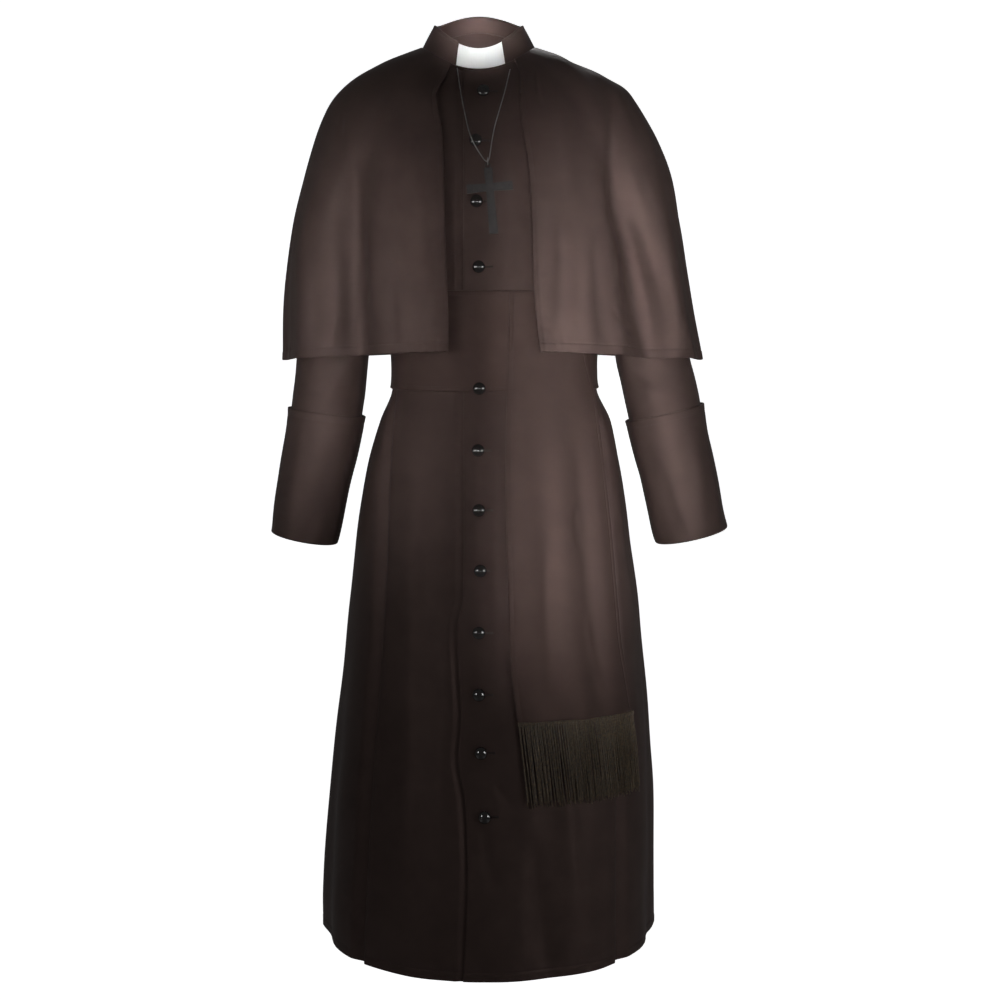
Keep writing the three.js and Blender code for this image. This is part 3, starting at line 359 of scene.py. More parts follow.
CAPE_CREASES = [
    (-190, -96, -188, -150, 4, 5, -1.6),
    (-118, -60, -160, -150, 6, 12, 2.0),
    (-92, -110, -100, -300, -6, 16, 2.4),
    (-226, -190, -252, -330, 5, 14, 2.6),
    (-150, -330, -196, -425, 6, 12, -2.0),
    (80, -36, 86, -86, 2, 4, -1.9),
    (118, -70, 128, -230, 5, 14, 2.4),
    (184, -362, 217, -398, 3, 5, -2.4),
    (230, -170, 268, -330, -5, 14, 2.6),
    (152, -300, 160, -420, 4, 12, 2.2),
    (110, -250, 104, -410, -4, 12, -2.0),
    (-178, -130, -168, -290, -4, 12, -4.0),
    (-168, -260, -155, -430, 3, 18, -7.0),
    (-200, -240, -196, -430, -3, 12, 3.5),
    (186, -60, 190, -260, 4, 10, -4.5),
    (190, -230, 240, -410, -8, 20, -8.0),
    (262, -280, 296, -420, 6, 12, 4.0),
    (100, -200, 96, -410, 5, 22, 2.5),
    (160, -260, 172, -420, 4, 12, -2.5),
    (-116, -250, -108, -415, 4, 14, 2.5),
    (-70, -200, -66, -410, -4, 10, -2.0),
]
BACK_CREASES = [
    (-110, -60, -130, -300, 6, 14, 2.2),
    (-40, -20, -46, -260, -4, 12, -1.8),
    (36, -10, 46, -280, 5, 12, 2.0),
    (120, -70, 146, -320, -5, 14, -2.0),
]
TAIL_CREASES = [
    (52, -420, 60, -520, 3, 8, 1.0),
    (134, -640, 142, -700, 3, 7, -1.6),
    (92, -700, 100, -900, 4, 8, -1.2),
    (150, -780, 176, -915, 5, 8, 1.4),
]
SLEEVE_CREASES = [
    (-262, -440, -190, -478, 6, 9, 2.6),
    (-258, -488, -200, -470, -5, 7, -2.0),
    (-170, -420, -214, -496, 5, 8, 2.2),
    (206, -444, 282, -478, 6, 9, 2.6),
    (292, -486, 232, -470, -5, 7, -2.0),
    (216, -500, 250, -452, 4, 8, 2.0),
]
CUFF_CREASES = [
    (-216, -640, -252, -698, 4, 7, -1.8),
    (-250, -520, -262, -690, 5, 14, 1.8),
    (-196, -540, -214, -640, -4, 9, 1.4),
    (300, -508, 326, -676, 5, 14, 1.8),
    (262, -600, 292, -690, 4, 8, -1.8),
    (240, -540, 256, -600, -4, 9, 1.4),
]


def smooth(start, end, value):
    t = np.clip((value - start) / (end - start), 0, 1)
    return t * t * (3 - 2 * t)


def bell(value):
    return np.exp(-value * value)


def vec(x, y, z):
    return np.stack(np.broadcast_arrays(x, y, z), axis=-1).astype(float)


def unit(v):
    return v / np.maximum(np.linalg.norm(v, axis=-1, keepdims=True), 1e-12)


def table_row(table, columns, key):
    """Named values of a table at a key of its first column, on a smooth curve through the rows."""
    rows = np.array(table, dtype=float)
    if rows[0, 0] > rows[-1, 0]:
        rows = rows[::-1]
    last = len(rows) - 1
    key = np.clip(np.asarray(key, dtype=float), rows[0, 0], rows[last, 0])
    i = np.searchsorted(rows[1:last, 0], key, side="left")
    before = rows[np.maximum(i - 1, 0)]
    low = rows[i]
    high = rows[i + 1]
    after = rows[np.minimum(i + 2, last)]
    step = (high - low)[..., :1]
    t = (key[..., None] - low[..., :1]) / step
    slope_low = (high - before) / (high - before)[..., :1]
    slope_high = (after - low) / (after - low)[..., :1]
    value = (
        (2 * t**3 - 3 * t**2 + 1) * low
        + (t**3 - 2 * t**2 + t) * step * slope_low
        + (3 * t**2 - 2 * t**3) * high
        + (t**3 - t**2) * step * slope_high
    )
    return {name: value[..., c] for c, name in enumerate(columns)}


def oval(angle, row, squareness):
    """A point of an oval section: angle 0 is the middle front and turns to the wearer's left."""
    sine, cosine = np.sin(angle), np.cos(angle)
    corner = 1 + squareness * np.sin(2 * angle) ** 2
    depth = np.where(cosine > 0, row["front"], row["back"])
    middle_z = np.where(cosine > 0, row["frontZ"], row["backZ"])
    return vec(
        row["centre"] + row["side"] * sine * corner,
        -depth * cosine * corner,
        row["sideZ"] * sine**2 + middle_z * cosine**2,
    )


def angle_at_x(x, row, squareness):
    target = (x - row["centre"]) / row["side"]
    angle = np.arcsin(np.clip(target, -1, 1))
    for _ in range(8):
        corner = 1 + squareness * np.sin(2 * angle) ** 2
        angle = np.arcsin(np.clip(target / corner, -1, 1))
    return angle


def normal_of(form, a, b, step=1e-4):
    along_a = form(a + step, b) - form(a - step, b)
    along_b = form(a, b + step) - form(a, b - step)
    return unit(np.cross(along_a, along_b))


def body_base(angle, step):
    return oval(angle, table_row(BODY, BODY_COLUMNS, step), BODY_SQUARENESS)


def body_point(angle, step, lift):
    normal = -normal_of(body_base, angle, np.minimum(step, 0.999))
    return body_base(angle, step) + normal * np.asarray(lift)[..., None]


def skirt_row(z):
    row = table_row(SKIRT, SKIRT_COLUMNS, z)
    return {**row, "sideZ": z, "frontZ": z, "backZ": z}


def turn_between(angle, start):
    return angle - start - FULL * np.round((angle - start) / FULL)


def flute_lift(angle, z):
    lift = 0
    for at, width, depth, top_z in FLUTES:
        away = turn_between(angle, at * DEGREE) / DEGREE
        lift = lift + depth * bell(away / width) * smooth(top_z, HEM_FRONT_Z, z)
    return lift


def skirt_base(angle, z):
    return oval(angle, skirt_row(z), SKIRT_SQUARENESS)


def skirt_point(angle, z, lift):
    normal = normal_of(skirt_base, angle, z)
    rise = HEM_SIDE_RISE * np.sin(angle) ** 2 * smooth(HEM_RISE_START_Z, HEM_FRONT_Z, z)
    point = skirt_base(angle, z) + normal * (lift + flute_lift(angle, z))[..., None]
    point[..., 2] += rise
    return point


def skirt_angle_at_x(x, z):
    return angle_at_x(x, skirt_row(z), SKIRT_SQUARENESS)


def body_angle_at_x(x, step):
    return angle_at_x(x, table_row(BODY, BODY_COLUMNS, step), BODY_SQUARENESS)


def front_point(x, z, lift):
    """A point of the dressed front at X and height, lifted off the cloth's middle."""
    x, z = np.array(float(x)), np.array(float(z))
    if z <= WAIST_SEAM_Z:
        return skirt_point(skirt_angle_at_x(x, z), z, lift)
    low, high = 0.0, 1.0
    for _ in range(30):
        middle = (low + high) / 2
        angle = body_angle_at_x(x, np.array(middle))
        if body_base(angle, np.array(middle))[2] > z:
            low = middle
        else:
            high = middle
    return body_point(angle, np.array((low + high) / 2), lift)


def between_stops(stops, across):
    result = None
    for (from_at, from_value), (to_at, to_value) in zip(stops, stops[1:]):
        line = from_value + (to_value - from_value) * (across - from_at) / (to_at - from_at)
        result = line if result is None else np.where(across > from_at, line, result)
    return result


def underlap_lift(x, edge):
    return -LAP_STEP * smooth(edge - LAP_BLEND, edge - LAP_CLEAR, x)


# Forms of the bodice
def armhole_angle(step):
    part = np.clip((step - ARMHOLE_TOP) / (ARMHOLE_FOOT - ARMHOLE_TOP), 0, 1)
    return ARMHOLE_DEPTH * np.maximum(np.sin(math.pi * part), 0) ** ARMHOLE_ROUNDNESS


def bodice_right_front(across, step):
    angle = between_stops([
        (0, -(QUARTER - armhole_angle(step))),
        (0.7, body_angle_at_x(BODICE_LAP_X - LAP_BLEND, step)),
        (0.8, body_angle_at_x(BODICE_LAP_X - LAP_CLEAR, step)),
        (1, body_angle_at_x(UNDERLAP_X, step)),
    ], across)
    return body_point(angle, step, underlap_lift(body_base(angle, step)[..., 0], BODICE_LAP_X))


def bodice_left_front(across, step):
    start = body_angle_at_x(BODICE_LAP_X, step)
    end = QUARTER - armhole_angle(step)
    return body_point(start + (end - start) * across, step, 0.0)


def bodice_back(across, step):
    start = QUARTER + armhole_angle(step)
    return body_point(start + (FULL - 2 * start) * across, step, 0.0)


# Forms of the skirt
def fold_angle(edge, z):
    angle = skirt_angle_at_x(table_row(FOLDS, FOLD_COLUMNS, z)[edge], z)
    return HALF - angle if edge.startswith("back") else angle


def arc_scale(z, angle):
    row = skirt_row(z)
    return np.hypot(row["side"] * np.cos(angle), row["front"] * np.sin(angle))


def folded_point(fold, way, across, z):
    """Past a panel's fold: round it from 1 to 1.5, then back along the underlay to 2."""
    scale = arc_scale(z, fold)
    turn = (across - 1) * FULL
    turned = across <= 1.5
    ahead = np.where(turned, FOLD_RADIUS * np.sin(turn), -(across - 1.5) * 2 * FOLD_UNDERLAY)
    lift = np.where(turned, FOLD_RADIUS * (np.cos(turn) - 1), -2 * FOLD_RADIUS)
    return skirt_point(fold + way * ahead / scale, z, lift)


def skirt_right_front(across, z):
    fold = fold_angle("right", z)
    edge = table_row(LAP_EDGE, LAP_EDGE_COLUMNS, z)["x"]
    angle = between_stops([
        (0, skirt_angle_at_x(UNDERLAP_X, z)),
        (0.2, skirt_angle_at_x(edge - LAP_CLEAR, z)),
        (0.3, skirt_angle_at_x(edge - LAP_BLEND, z)),
        (1, fold),
    ], across)
    panel = skirt_point(angle, z, underlap_lift(skirt_base(angle, z)[..., 0], edge))
    return np.where((across > 1)[..., None], folded_point(fold, -1, across, z), panel)


def skirt_left_front(across, z):
    fold = fold_angle("left", z)
    start = skirt_angle_at_x(table_row(LAP_EDGE, LAP_EDGE_COLUMNS, z)["x"], z)
    panel = skirt_point(start + (fold - start) * across, z, 0.0)
    return np.where((across > 1)[..., None], folded_point(fold, 1, across, z), panel)


def skirt_back(across, z):
    left = across < 0
    away = np.abs(across)
    fold = np.where(left, fold_angle("backLeft", z), fold_angle("backRight", z))
    panel = skirt_point(HALF + (fold - HALF) * away, z, 0.0)
    way = np.where(left, -1, 1)
    return np.where((away > 1)[..., None], folded_point(fold, way, away, z), panel)


def gore_point(front_fold, back_fold, way, across, z):
    """A gore: a turn at the front underlay, out behind the folds to the side, a turn at the back."""
    front_scale = arc_scale(z, front_fold)
    back_scale = arc_scale(z, back_fold)
    start = front_fold - way * FOLD_UNDERLAY / front_scale
    end = back_fold + way * FOLD_UNDERLAY / back_scale
    at_front = across < 0
    turn = np.where(at_front, -across, across - 1) * FULL
    ahead = GORE_RADIUS * np.sin(turn) / np.where(at_front, front_scale, back_scale)
    turned_angle = np.where(at_front, start - way * ahead, end + way * ahead)
    turned_lift = -GORE_INSET + GORE_RADIUS * (1 - np.cos(turn))
    reaches = ((0.1, GORE_CLEAR), (0.2, GORE_MIDDLE), (0.3, GORE_RISE))
    front_stops = [(at, front_fold + way * reach / front_scale) for at, reach in reaches]
    back_stops = [(1 - at, back_fold - way * reach / back_scale) for at, reach in reaches[::-1]]
    angle = between_stops([(0, start), *front_stops, *back_stops, (1, end)], across)
    past_front = way * (angle - front_fold) * front_scale
    past_back = way * (back_fold - angle) * back_scale
    lift = -GORE_INSET * (1 - smooth(GORE_CLEAR, GORE_RISE, np.minimum(past_front, past_back)))
    turned = (across < 0) | (across > 1)
    return skirt_point(np.where(turned, turned_angle, angle), z, np.where(turned, turned_lift, lift))


def skirt_left_gore(across, z):
    return gore_point(fold_angle("left", z), fold_angle("backLeft", z), 1, across, z)


def skirt_right_gore(across, z):
    return gore_point(fold_angle("right", z), fold_angle("backRight", z) - FULL, -1, across, z)


# Forms of the sleeves and cuffs
def arm_ring(table, turn, station):
    row = table_row(table, ARM_COLUMNS, station)
    cosine = np.cos(turn)
    return vec(
        (row["outX"] + row["inX"]) / 2 + (row["outX"] - row["inX"]) / 2 * cosine,
        row["y"] - row["deep"] * np.sin(turn),
        (row["outZ"] + row["inZ"]) / 2 + (row["outZ"] - row["inZ"]) / 2 * cosine,
    )


def armhole_point(way, turn):
    step = ARMHOLE_TOP + (ARMHOLE_FOOT - ARMHOLE_TOP) * (1 - np.cos(turn)) / 2
    reach = armhole_angle(step)
    angle = np.where(np.sin(turn) >= 0, QUARTER - reach, QUARTER + reach)
    return body_point(way * angle, step, SLEEVE_SEAM_LIFT)


def sleeve(table, way):
    def form(turn, station):
        hold = 1 - np.clip(station, 0, 1)
        seam = armhole_point(way, turn) - arm_ring(table, turn, np.zeros_like(turn))
        return arm_ring(table, turn, station) + seam * hold[..., None]
    return form


def cuff(table):
    def form(turn, down):
        station = np.minimum(down, WRIST_STATION)
        inside = np.minimum(station, WRIST_STATION * 0.999)
        normal = normal_of(lambda a, b: arm_ring(table, a, b), turn, inside)
        row = table_row(table, ARM_COLUMNS, inside)
        middle = vec((row["outX"] + row["inX"]) / 2, row["y"], (row["outZ"] + row["inZ"]) / 2)
        away = arm_ring(table, turn, inside) - middle
        normal = normal * np.sign(np.sum(normal * away, axis=-1, keepdims=True))
        share = (station - CUFF_TOP_STATION) / (WRIST_STATION - CUFF_TOP_STATION)
        lift = CUFF_LIFT_TOP + (CUFF_LIFT_FOOT - CUFF_LIFT_TOP) * share
        rounding = np.clip(down - WRIST_STATION, 0, 1) * QUARTER
        wrist = np.full_like(turn, WRIST_STATION)
        axis = unit(arm_ring(table, turn, wrist) - arm_ring(table, turn, wrist - WRIST_REACH))
        return (
            arm_ring(table, turn, station)
            + normal * (lift * np.cos(rounding))[..., None]
            + axis * (CUFF_LIP * np.sin(rounding))[..., None]
        )
    return form


# Forms of the collar
def collar_base(angle, up):
    seam, rim = np.array(COLLAR_SEAM), np.array(COLLAR_RIM)
    value = seam + (rim - seam) * np.asarray(up)[..., None]
    return oval(angle, {name: value[..., c] for c, name in enumerate(COLLAR_COLUMNS)}, 0)


def collar_band(across, up):
    gap = COLLAR_GAP_SEAM + (COLLAR_GAP_RIM - COLLAR_GAP_SEAM) * up
    return collar_base(INSERT_TURN + gap + (FULL - 2 * gap) * across, up)


def collar_insert(across, up):
    gap = COLLAR_GAP_SEAM + (COLLAR_GAP_RIM - COLLAR_GAP_SEAM) * up + INSERT_TUCK
    angle = INSERT_TURN + gap * (2 * across - 1)
    normal = normal_of(collar_base, angle, up)
    away = vec(np.sin(angle), -np.cos(angle), 0 * angle)
    inward = -normal * np.sign(np.sum(normal * away, axis=-1, keepdims=True))
    return collar_base(angle, up) + inward * INSERT_INSET


# Forms of the cape
def cape_squareness(step):
    return CAPE_SQUARENESS * smooth(CAPE_SQUARE_FROM, CAPE_SQUARE_FULL, step)


def cape_base(angle, step):
    return oval(angle, table_row(CAPE, CAPE_COLUMNS, step), cape_squareness(step))


def cape_point(angle, step):
    lift = 0
    for top, hem, width, height, start in CAPE_FOLDS:
        away = turn_between(angle, (top + (hem - top) * step) * DEGREE) / DEGREE
        lift = lift + height * bell(away / width) * smooth(start, 1, step)
    normal = -normal_of(cape_base, angle, np.minimum(step, 0.999))
    return cape_base(angle, step) + normal * lift[..., None]


def cape_edge_angle(edge, step):
    row = table_row(CAPE, CAPE_COLUMNS, step)
    return angle_at_x(row[edge], row, cape_squareness(step))


def cape_right_front(across, step):
    start = -CAPE_SEAM_ANGLE
    return cape_point(start + (cape_edge_angle("right", step) - start) * across, step)


def cape_left_front(across, step):
    start = cape_edge_angle("left", step)
    return cape_point(start + (CAPE_SEAM_ANGLE - start) * across, step)


def cape_back(across, step):
    return cape_point(CAPE_SEAM_ANGLE + (FULL - 2 * CAPE_SEAM_ANGLE) * across, step)


# Forms of the waist band, the sash end and its fringe
def waist_band(angle, z):
    return skirt_point(angle, z, BAND_LIFT)


def tail_angle(across, z):
    row = table_row(TAIL, TAIL_COLUMNS, z)
    start = skirt_angle_at_x(row["right"], z)
    return start + (skirt_angle_at_x(row["left"], z) - start) * across


def sash_tail(across, z):
    lift = TAIL_LIFT
    for at, width, height, top_z in TAIL_FOLDS:
        grown = smooth(top_z, top_z - TAIL_FOLD_GROWTH, z)
        lift = lift + height * bell((across - at) / width) * grown
    return skirt_point(tail_angle(across, z), z, lift)


def fringe_point(across, drop, lift):
    z = TAIL_FOOT_Z - drop
    slant = FRINGE_SLANT_RIGHT + (FRINGE_SLANT_LEFT - FRINGE_SLANT_RIGHT) * across
    turn = slant * drop / (FRINGE_DROP * arc_scale(z, 0.0))
    angle = tail_angle(across, np.full_like(z, TAIL_FOOT_Z)) + turn
    return skirt_point(angle, z, lift)


# Relief on the forms
def waves(u, v, seed, length_u, length_v):
    """Soft uneven ground from a few seeded waves, about -1 to 1."""
    rng = np.random.default_rng(seed)
    total = 0
    count = 8
    for _ in range(count):
        turn, phase = rng.uniform(0, FULL, 2)
        pace = rng.uniform(0.55, 1.5)
        way = np.cos(turn) * u / length_u + np.sin(turn) * v / length_v
        total = total + np.sin(FULL * pace * way + phase)
    return total / math.sqrt(count)


def crease_lift(creases, point, normal, side):
    """Soft troughs and ridges, each along a bowed line, on the face that looks to that side."""
    facing = smooth(0.05, 0.45, normal[..., 1] * side)
    lift = 0
    for x0, z0, x1, z1, bow, width, height in creases:
        run = math.hypot(x1 - x0, z1 - z0)
        way_x, way_z = (x1 - x0) / run, (z1 - z0) / run
        along = ((point[..., 0] - x0) * way_x + (point[..., 2] - z0) * way_z) / run
        across = (point[..., 0] - x0) * way_z - (point[..., 2] - z0) * way_x
        inside = np.clip(along, 0, 1)
        away = across - bow * 4 * inside * (1 - inside)
        grown = smooth(-0.12, 0.3, along) * smooth(1.12, 0.75, along)
        lift = lift + height * bell(away / (width * (0.6 + 0.5 * inside))) * grown
    return lift * facing


def hem_lift(away, along, seed, depth=HEM_FOLD):
    """A turned hem: a slightly proud fold, the groove of its stitches, and a little puckering."""
    proud = 0.35 * (1 - smooth(depth - 1, depth + 1, away))
    groove = -0.45 * bell((away - depth) / 1.3)
    pucker = 0.3 * waves(along, away, seed, 16, 60) * bell((away - depth) / 10)
    return proud + groove + pucker


def quiet_by_buttons(point):
    calm = 1
    for z, x in BUTTONS:
        away = np.hypot(point[..., 0] - x, point[..., 2] - z)
        calm = calm * (1 - bell(away / 13))
    return calm


def pace_down(form, across, down, edge):
    """How far a place is from the edge at that down, along the cloth."""
    step = 0.004 * np.sign(edge - down + 1e-9) * np.maximum(np.abs(edge), 1)
    at_edge = form(across, np.full_like(down, edge))
    near = form(across, edge - step)
    return np.linalg.norm(at_edge - near, axis=-1) / np.abs(step) * np.abs(down - edge)


def pace_across(form, across, down, edge):
    step = 0.004
    inward = -1 if edge > 0.5 else 1
    at_edge = form(np.full_like(across, edge), down)
    near = form(np.full_like(across, edge + inward * step), down)
    return np.linalg.norm(at_edge - near, axis=-1) / step * np.abs(across - edge)


class Cloth:
    """A wall of cloth: its form, its relief and its thickness. inside is a point it faces from."""

    def __init__(self, form, thickness, relief, inside, sample):
        self.form = form
        self.half = thickness / 2
        self.relief = relief
        a, b = np.meshgrid(*sample)
        point, normal = form(a, b), normal_of(form, a, b)
        centre = point.mean(axis=(0, 1)) if inside is None else vec(*inside, point[..., 2])
        self.sign = 1 if np.sum(normal * (point - centre)) > 0 else -1

    def middle(self, across, down):
        across, down = np.broadcast_arrays(
            np.asarray(across, dtype=float), np.asarray(down, dtype=float)
        )
        point = self.form(across, down)
        normal = self.sign * normal_of(self.form, across, down)
        lift = self.relief(across, down, point, normal)
        return point + normal * lift[..., None], normal

    def at(self, across, down, lift=0.0):
        point, normal = self.middle(across, down)
        return point + normal * (self.half + lift), normal


def arc_lengths(middle, closed):
    """Distance across and down the cloth at each grid point, and the full way round a tube."""
    across_steps = np.linalg.norm(np.diff(middle, axis=1), axis=-1)
    down_steps = np.linalg.norm(np.diff(middle, axis=0), axis=-1)
    u = np.concatenate([np.zeros((len(middle), 1)), np.cumsum(across_steps, axis=1)], axis=1)
    v = np.concatenate([np.zeros((1, middle.shape[1])), np.cumsum(down_steps, axis=0)], axis=0)
    gap = np.linalg.norm(middle[:, 0] - middle[:, -1], axis=-1) if closed else 0
    whole = u[:, -1] + gap
    if not closed:
        u = u - u[:, -1:] / 2
    return u, v, whole


def shell(middle, normal, half, closed, pull):
    """Vertices, quads and corner UVs of a grid closed into a wall with round edges."""
    rows, cols = middle.shape[:2]
    u, v, whole = arc_lengths(middle, closed)
    index = np.arange(rows * cols).reshape(rows, cols)
    flat = middle.reshape(-1, 3).copy()
    normals = normal.reshape(-1, 3)
    r, c = np.divmod(np.arange(rows * cols), cols)
    near = index[np.clip(r, 1, rows - 2), c if closed else np.clip(c, 1, cols - 2)]
    if closed:
        loops = [index[0], index[-1][::-1]]
    else:
        loops = [np.concatenate([index[0, :-1], index[:-1, -1], index[-1, :0:-1], index[:0:-1, 0]])]
    out = {}
    for number, loop in enumerate(loops):
        out[number] = unit(flat[loop] - flat[near[loop]])
    for number, loop in enumerate(loops):
        flat[loop] -= out[number] * pull
    count = rows * cols
    vertices = [flat + normals * half, flat - normals * half]
    total = 2 * count
    next_col = np.roll(index, -1, axis=1) if closed else index[:, 1:]
    this_col = index if closed else index[:, :-1]
    quads = np.stack([this_col[:-1], next_col[:-1], next_col[1:], this_col[1:]], axis=-1).reshape(-1, 4)
    uv_flat = np.stack([u, v], axis=-1).reshape(-1, 2)
    uvs = uv_flat[quads]
    if closed:
        wrapped = (quads % cols)[:, 1] == 0
        uvs[wrapped, 1, 0] = whole[quads[wrapped, 0] // cols]
        uvs[wrapped, 2, 0] = whole[quads[wrapped, 3] // cols]
    faces = [quads, quads[:, ::-1] + count]
    face_uvs = [uvs, uvs[:, ::-1]]
    for number, loop in enumerate(loops):
        layers = [loop]
        for turn in (QUARTER / 2, QUARTER, 1.5 * QUARTER):
            rim = (
                flat[loop]
                + normals[loop] * half * math.cos(turn)
                + out[number] * half * math.sin(turn)
            )
            vertices.append(rim)
            layers.append(np.arange(total, total + len(loop)))
            total += len(loop)
        layers.append(loop + count)
        ahead = np.roll(np.arange(len(loop)), -1)
        for first, second in zip(layers, layers[1:]):
            faces.append(np.stack([first[ahead], first, second, second[ahead]], axis=-1))
            edge_uv = uv_flat[loop]
            face_uvs.append(np.stack([edge_uv[ahead], edge_uv, edge_uv, edge_uv[ahead]], axis=1))
    return np.concatenate(vertices), np.concatenate(faces), np.concatenate(face_uvs)


def signed_volume(points, quads):
    a, b, c, d = (points[quads[:, k]] for k in range(4))
    return np.sum(a * np.cross(b, c)) + np.sum(a * np.cross(c, d))


def make_object(name, points, faces, material, uvs=None):
    """A smooth mesh with its material, that rides on the garment."""
    mesh = bpy.data.meshes.new(name)
    mesh.from_pydata((points * MM).tolist(), [], faces.tolist())
    mesh.polygons.foreach_set("use_smooth", np.ones(len(faces), dtype=bool))
    if uvs is not None:
        layer = mesh.uv_layers.new(name="cloth")
        layer.data.foreach_set("uv", (uvs * MM).astype(np.float32).ravel())
    mesh.materials.append(material)
    obj = bpy.data.objects.new(name, mesh)
    bpy.context.collection.objects.link(obj)
    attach(obj, GARMENT)
    return obj


def sew(
    form, relief, across, down, held, rests_on, node=None, material=None, thickness=CLOTH,
    inside=BODY_MIDDLE, closed=False, pull=SEAM_PULL,
):
    """Makes a cloth piece and lets it stand for the solid of its form's name."""
    node = node or form.__name__
    thirds = [[len(places) // 3, 2 * len(places) // 3] for places in (across, down)]
    sample = (across if closed else across[thirds[0]], down[thirds[1]])
    cloth = Cloth(form, thickness, relief, inside, sample)
    a, b = np.meshgrid(across, down)
    middle, normal = cloth.middle(a, b)
    points, faces, uvs = shell(middle, normal, cloth.half, closed, pull)
    if signed_volume(points, faces) < 0:
        faces, uvs = faces[:, ::-1], uvs[:, ::-1]
    obj = make_object(f"{node}_cloth", points, faces, material or SATIN, uvs)
    u, v, whole = arc_lengths(middle, closed)
    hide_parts(node)
    return cloth


# Materials
TWILL_TURN = math.radians(58)
THREAD_WAVE = 0.314
MOTTLE_STOPS = ((0.3, -1), (0.7, 1))


def set_inputs(node, values):
    for socket, value in values.items():
        node.inputs[socket].default_value = value


def material(name, colour, roughness, finish):
    """A principled material; finish gives its further sockets by their names."""
    made = bpy.data.materials.new(name)
    made.use_nodes = True
    shader = made.node_tree.nodes["Principled BSDF"]
    set_inputs(shader, {"Base Color": (*colour, 1), "Roughness": roughness, **finish})
    return made, shader


def add_node(made, kind, inputs, **settings):
    node = made.node_tree.nodes.new(f"ShaderNode{kind}")
    for name, value in settings.items():
        setattr(node, name, value)
    set_inputs(node, inputs)
    return node


def link_all(made, *links):
    for source, output, target, socket in links:
        made.node_tree.links.new(source.outputs[output], target.inputs[socket])


def mottle(made, shader, colour, scale, share, seed):
    """Varies a colour lighter and darker by a soft noise."""
    place = add_node(made, "TexCoord", {})
    noise = add_node(
        made, "TexNoise", {"W": seed, "Scale": scale, "Detail": 5}, noise_dimensions="4D",
    )
    ramp = add_node(made, "ValToRGB", {})
    for stop, (position, way) in zip(ramp.color_ramp.elements, MOTTLE_STOPS):
        stop.position = position
        stop.color = (*[channel * (1 + way * share) for channel in colour], 1)
    link_all(
        made,
        (place, "Object", noise, "Vector"),
        (noise, "Fac", ramp, "Fac"),
        (ramp, "Color", shader, "Base Color"),
    )
    return place, noise


def woven(name, colour, roughness, thread, depth, share=0.1, seed=0.0, turn=TWILL_TURN, sheen=None):
    """Woven cloth: diagonal twill or plain threads from the UVs, slubs and a soft mottle."""
    tint = (*[channel / max(colour) for channel in colour], 1)
    finish = {"Specular IOR Level": 0.2, "Specular Tint": tint, **(sheen or {})}
    made, shader = material(name, colour, roughness, finish)
    mottle(made, shader, colour, 26, share, seed)
    uv = add_node(made, "UVMap", {}, uv_map="cloth")
    slant = add_node(made, "Mapping", {"Rotation": (0, 0, turn)})
    wave = {"Scale": THREAD_WAVE / thread, "Distortion": 1.2, "Detail": 1, "Detail Scale": 2}
    threads = add_node(made, "TexWave", wave, wave_type="BANDS", bands_direction="X")
    stretch = add_node(made, "Mapping", {"Scale": (1, 0.18, 1)})
    slub = add_node(made, "TexNoise", {"Scale": 700, "Detail": 3})
    mix = add_node(made, "Math", {}, operation="ADD")
    bump = add_node(made, "Bump", {"Strength": 0.55, "Distance": depth})
    link_all(
        made,
        (uv, "UV", slant, "Vector"),
        (slant, "Vector", threads, "Vector"),
        (uv, "UV", stretch, "Vector"),
        (stretch, "Vector", slub, "Vector"),
        (threads, "Fac", mix, 0),
        (slub, "Fac", mix, 1),
        (mix, "Value", bump, "Height"),
        (bump, "Normal", shader, "Normal"),
    )
    return made


def surfaced(name, colour, roughness, scale, share, depth, seed, finish):
    """A hard or fibrous finish: soft mottle, uneven roughness and a fine grain."""
    made, shader = material(name, colour, roughness, finish)
    place, noise = mottle(made, shader, colour, scale, share, seed)
    spread = add_node(
        made, "MapRange", {"To Min": roughness * 0.8, "To Max": min(roughness * 1.25, 1)},
    )
    grain = add_node(made, "TexNoise", {"Scale": scale * 12})
    bump = add_node(made, "Bump", {"Strength": 0.4, "Distance": depth})
    link_all(
        made,
        (noise, "Fac", spread, "Value"),
        (spread, "Result", shader, "Roughness"),
        (place, "Object", grain, "Vector"),
        (grain, "Fac", bump, "Height"),
        (bump, "Normal", shader, "Normal"),
    )
    return made


SATIN = woven("satin_cloth", (0.068, 0.0465, 0.0415), 0.46, 0.0007, 0.00005, seed=1.0)
SASH = woven("sash_cloth", (0.070, 0.0465, 0.041), 0.45, 0.0007, 0.00005, seed=2.0)
WHITE = woven(
    "white_insert", (0.9, 0.9, 0.91), 0.6, 0.0006, 0.00004, share=0.02, seed=3.0, turn=0,
    sheen={"Sheen Weight": 0.1, "Sheen Roughness": 0.4},
)
THREAD = surfaced("sewing_thread", (0.034, 0.021, 0.018), 0.5, 900, 0.2, 0.00003, 4.0, {})
FRINGE = surfaced(
    "fringe_yarn", (0.115, 0.074, 0.036), 0.4, 420, 0.75, 0.00012, 5.0, {"Sheen Weight": 0.2},
)
BUTTON = surfaced(
    "glossy_button", (0.011, 0.006, 0.0045), 0.12, 90, 0.3, 0.000005, 6.0,
    {"Coat Weight": 1.0, "Coat Roughness": 0.05},
)
STEEL = surfaced("steel_chain", (0.42, 0.41, 0.40), 0.3, 400, 0.15, 0.00001, 7.0, {"Metallic": 1.0})
CROSS = surfaced(
    "dark_cross", (0.026, 0.020, 0.019), 0.5, 160, 0.35, 0.00003, 8.0, {"Specular IOR Level": 0.35},
)



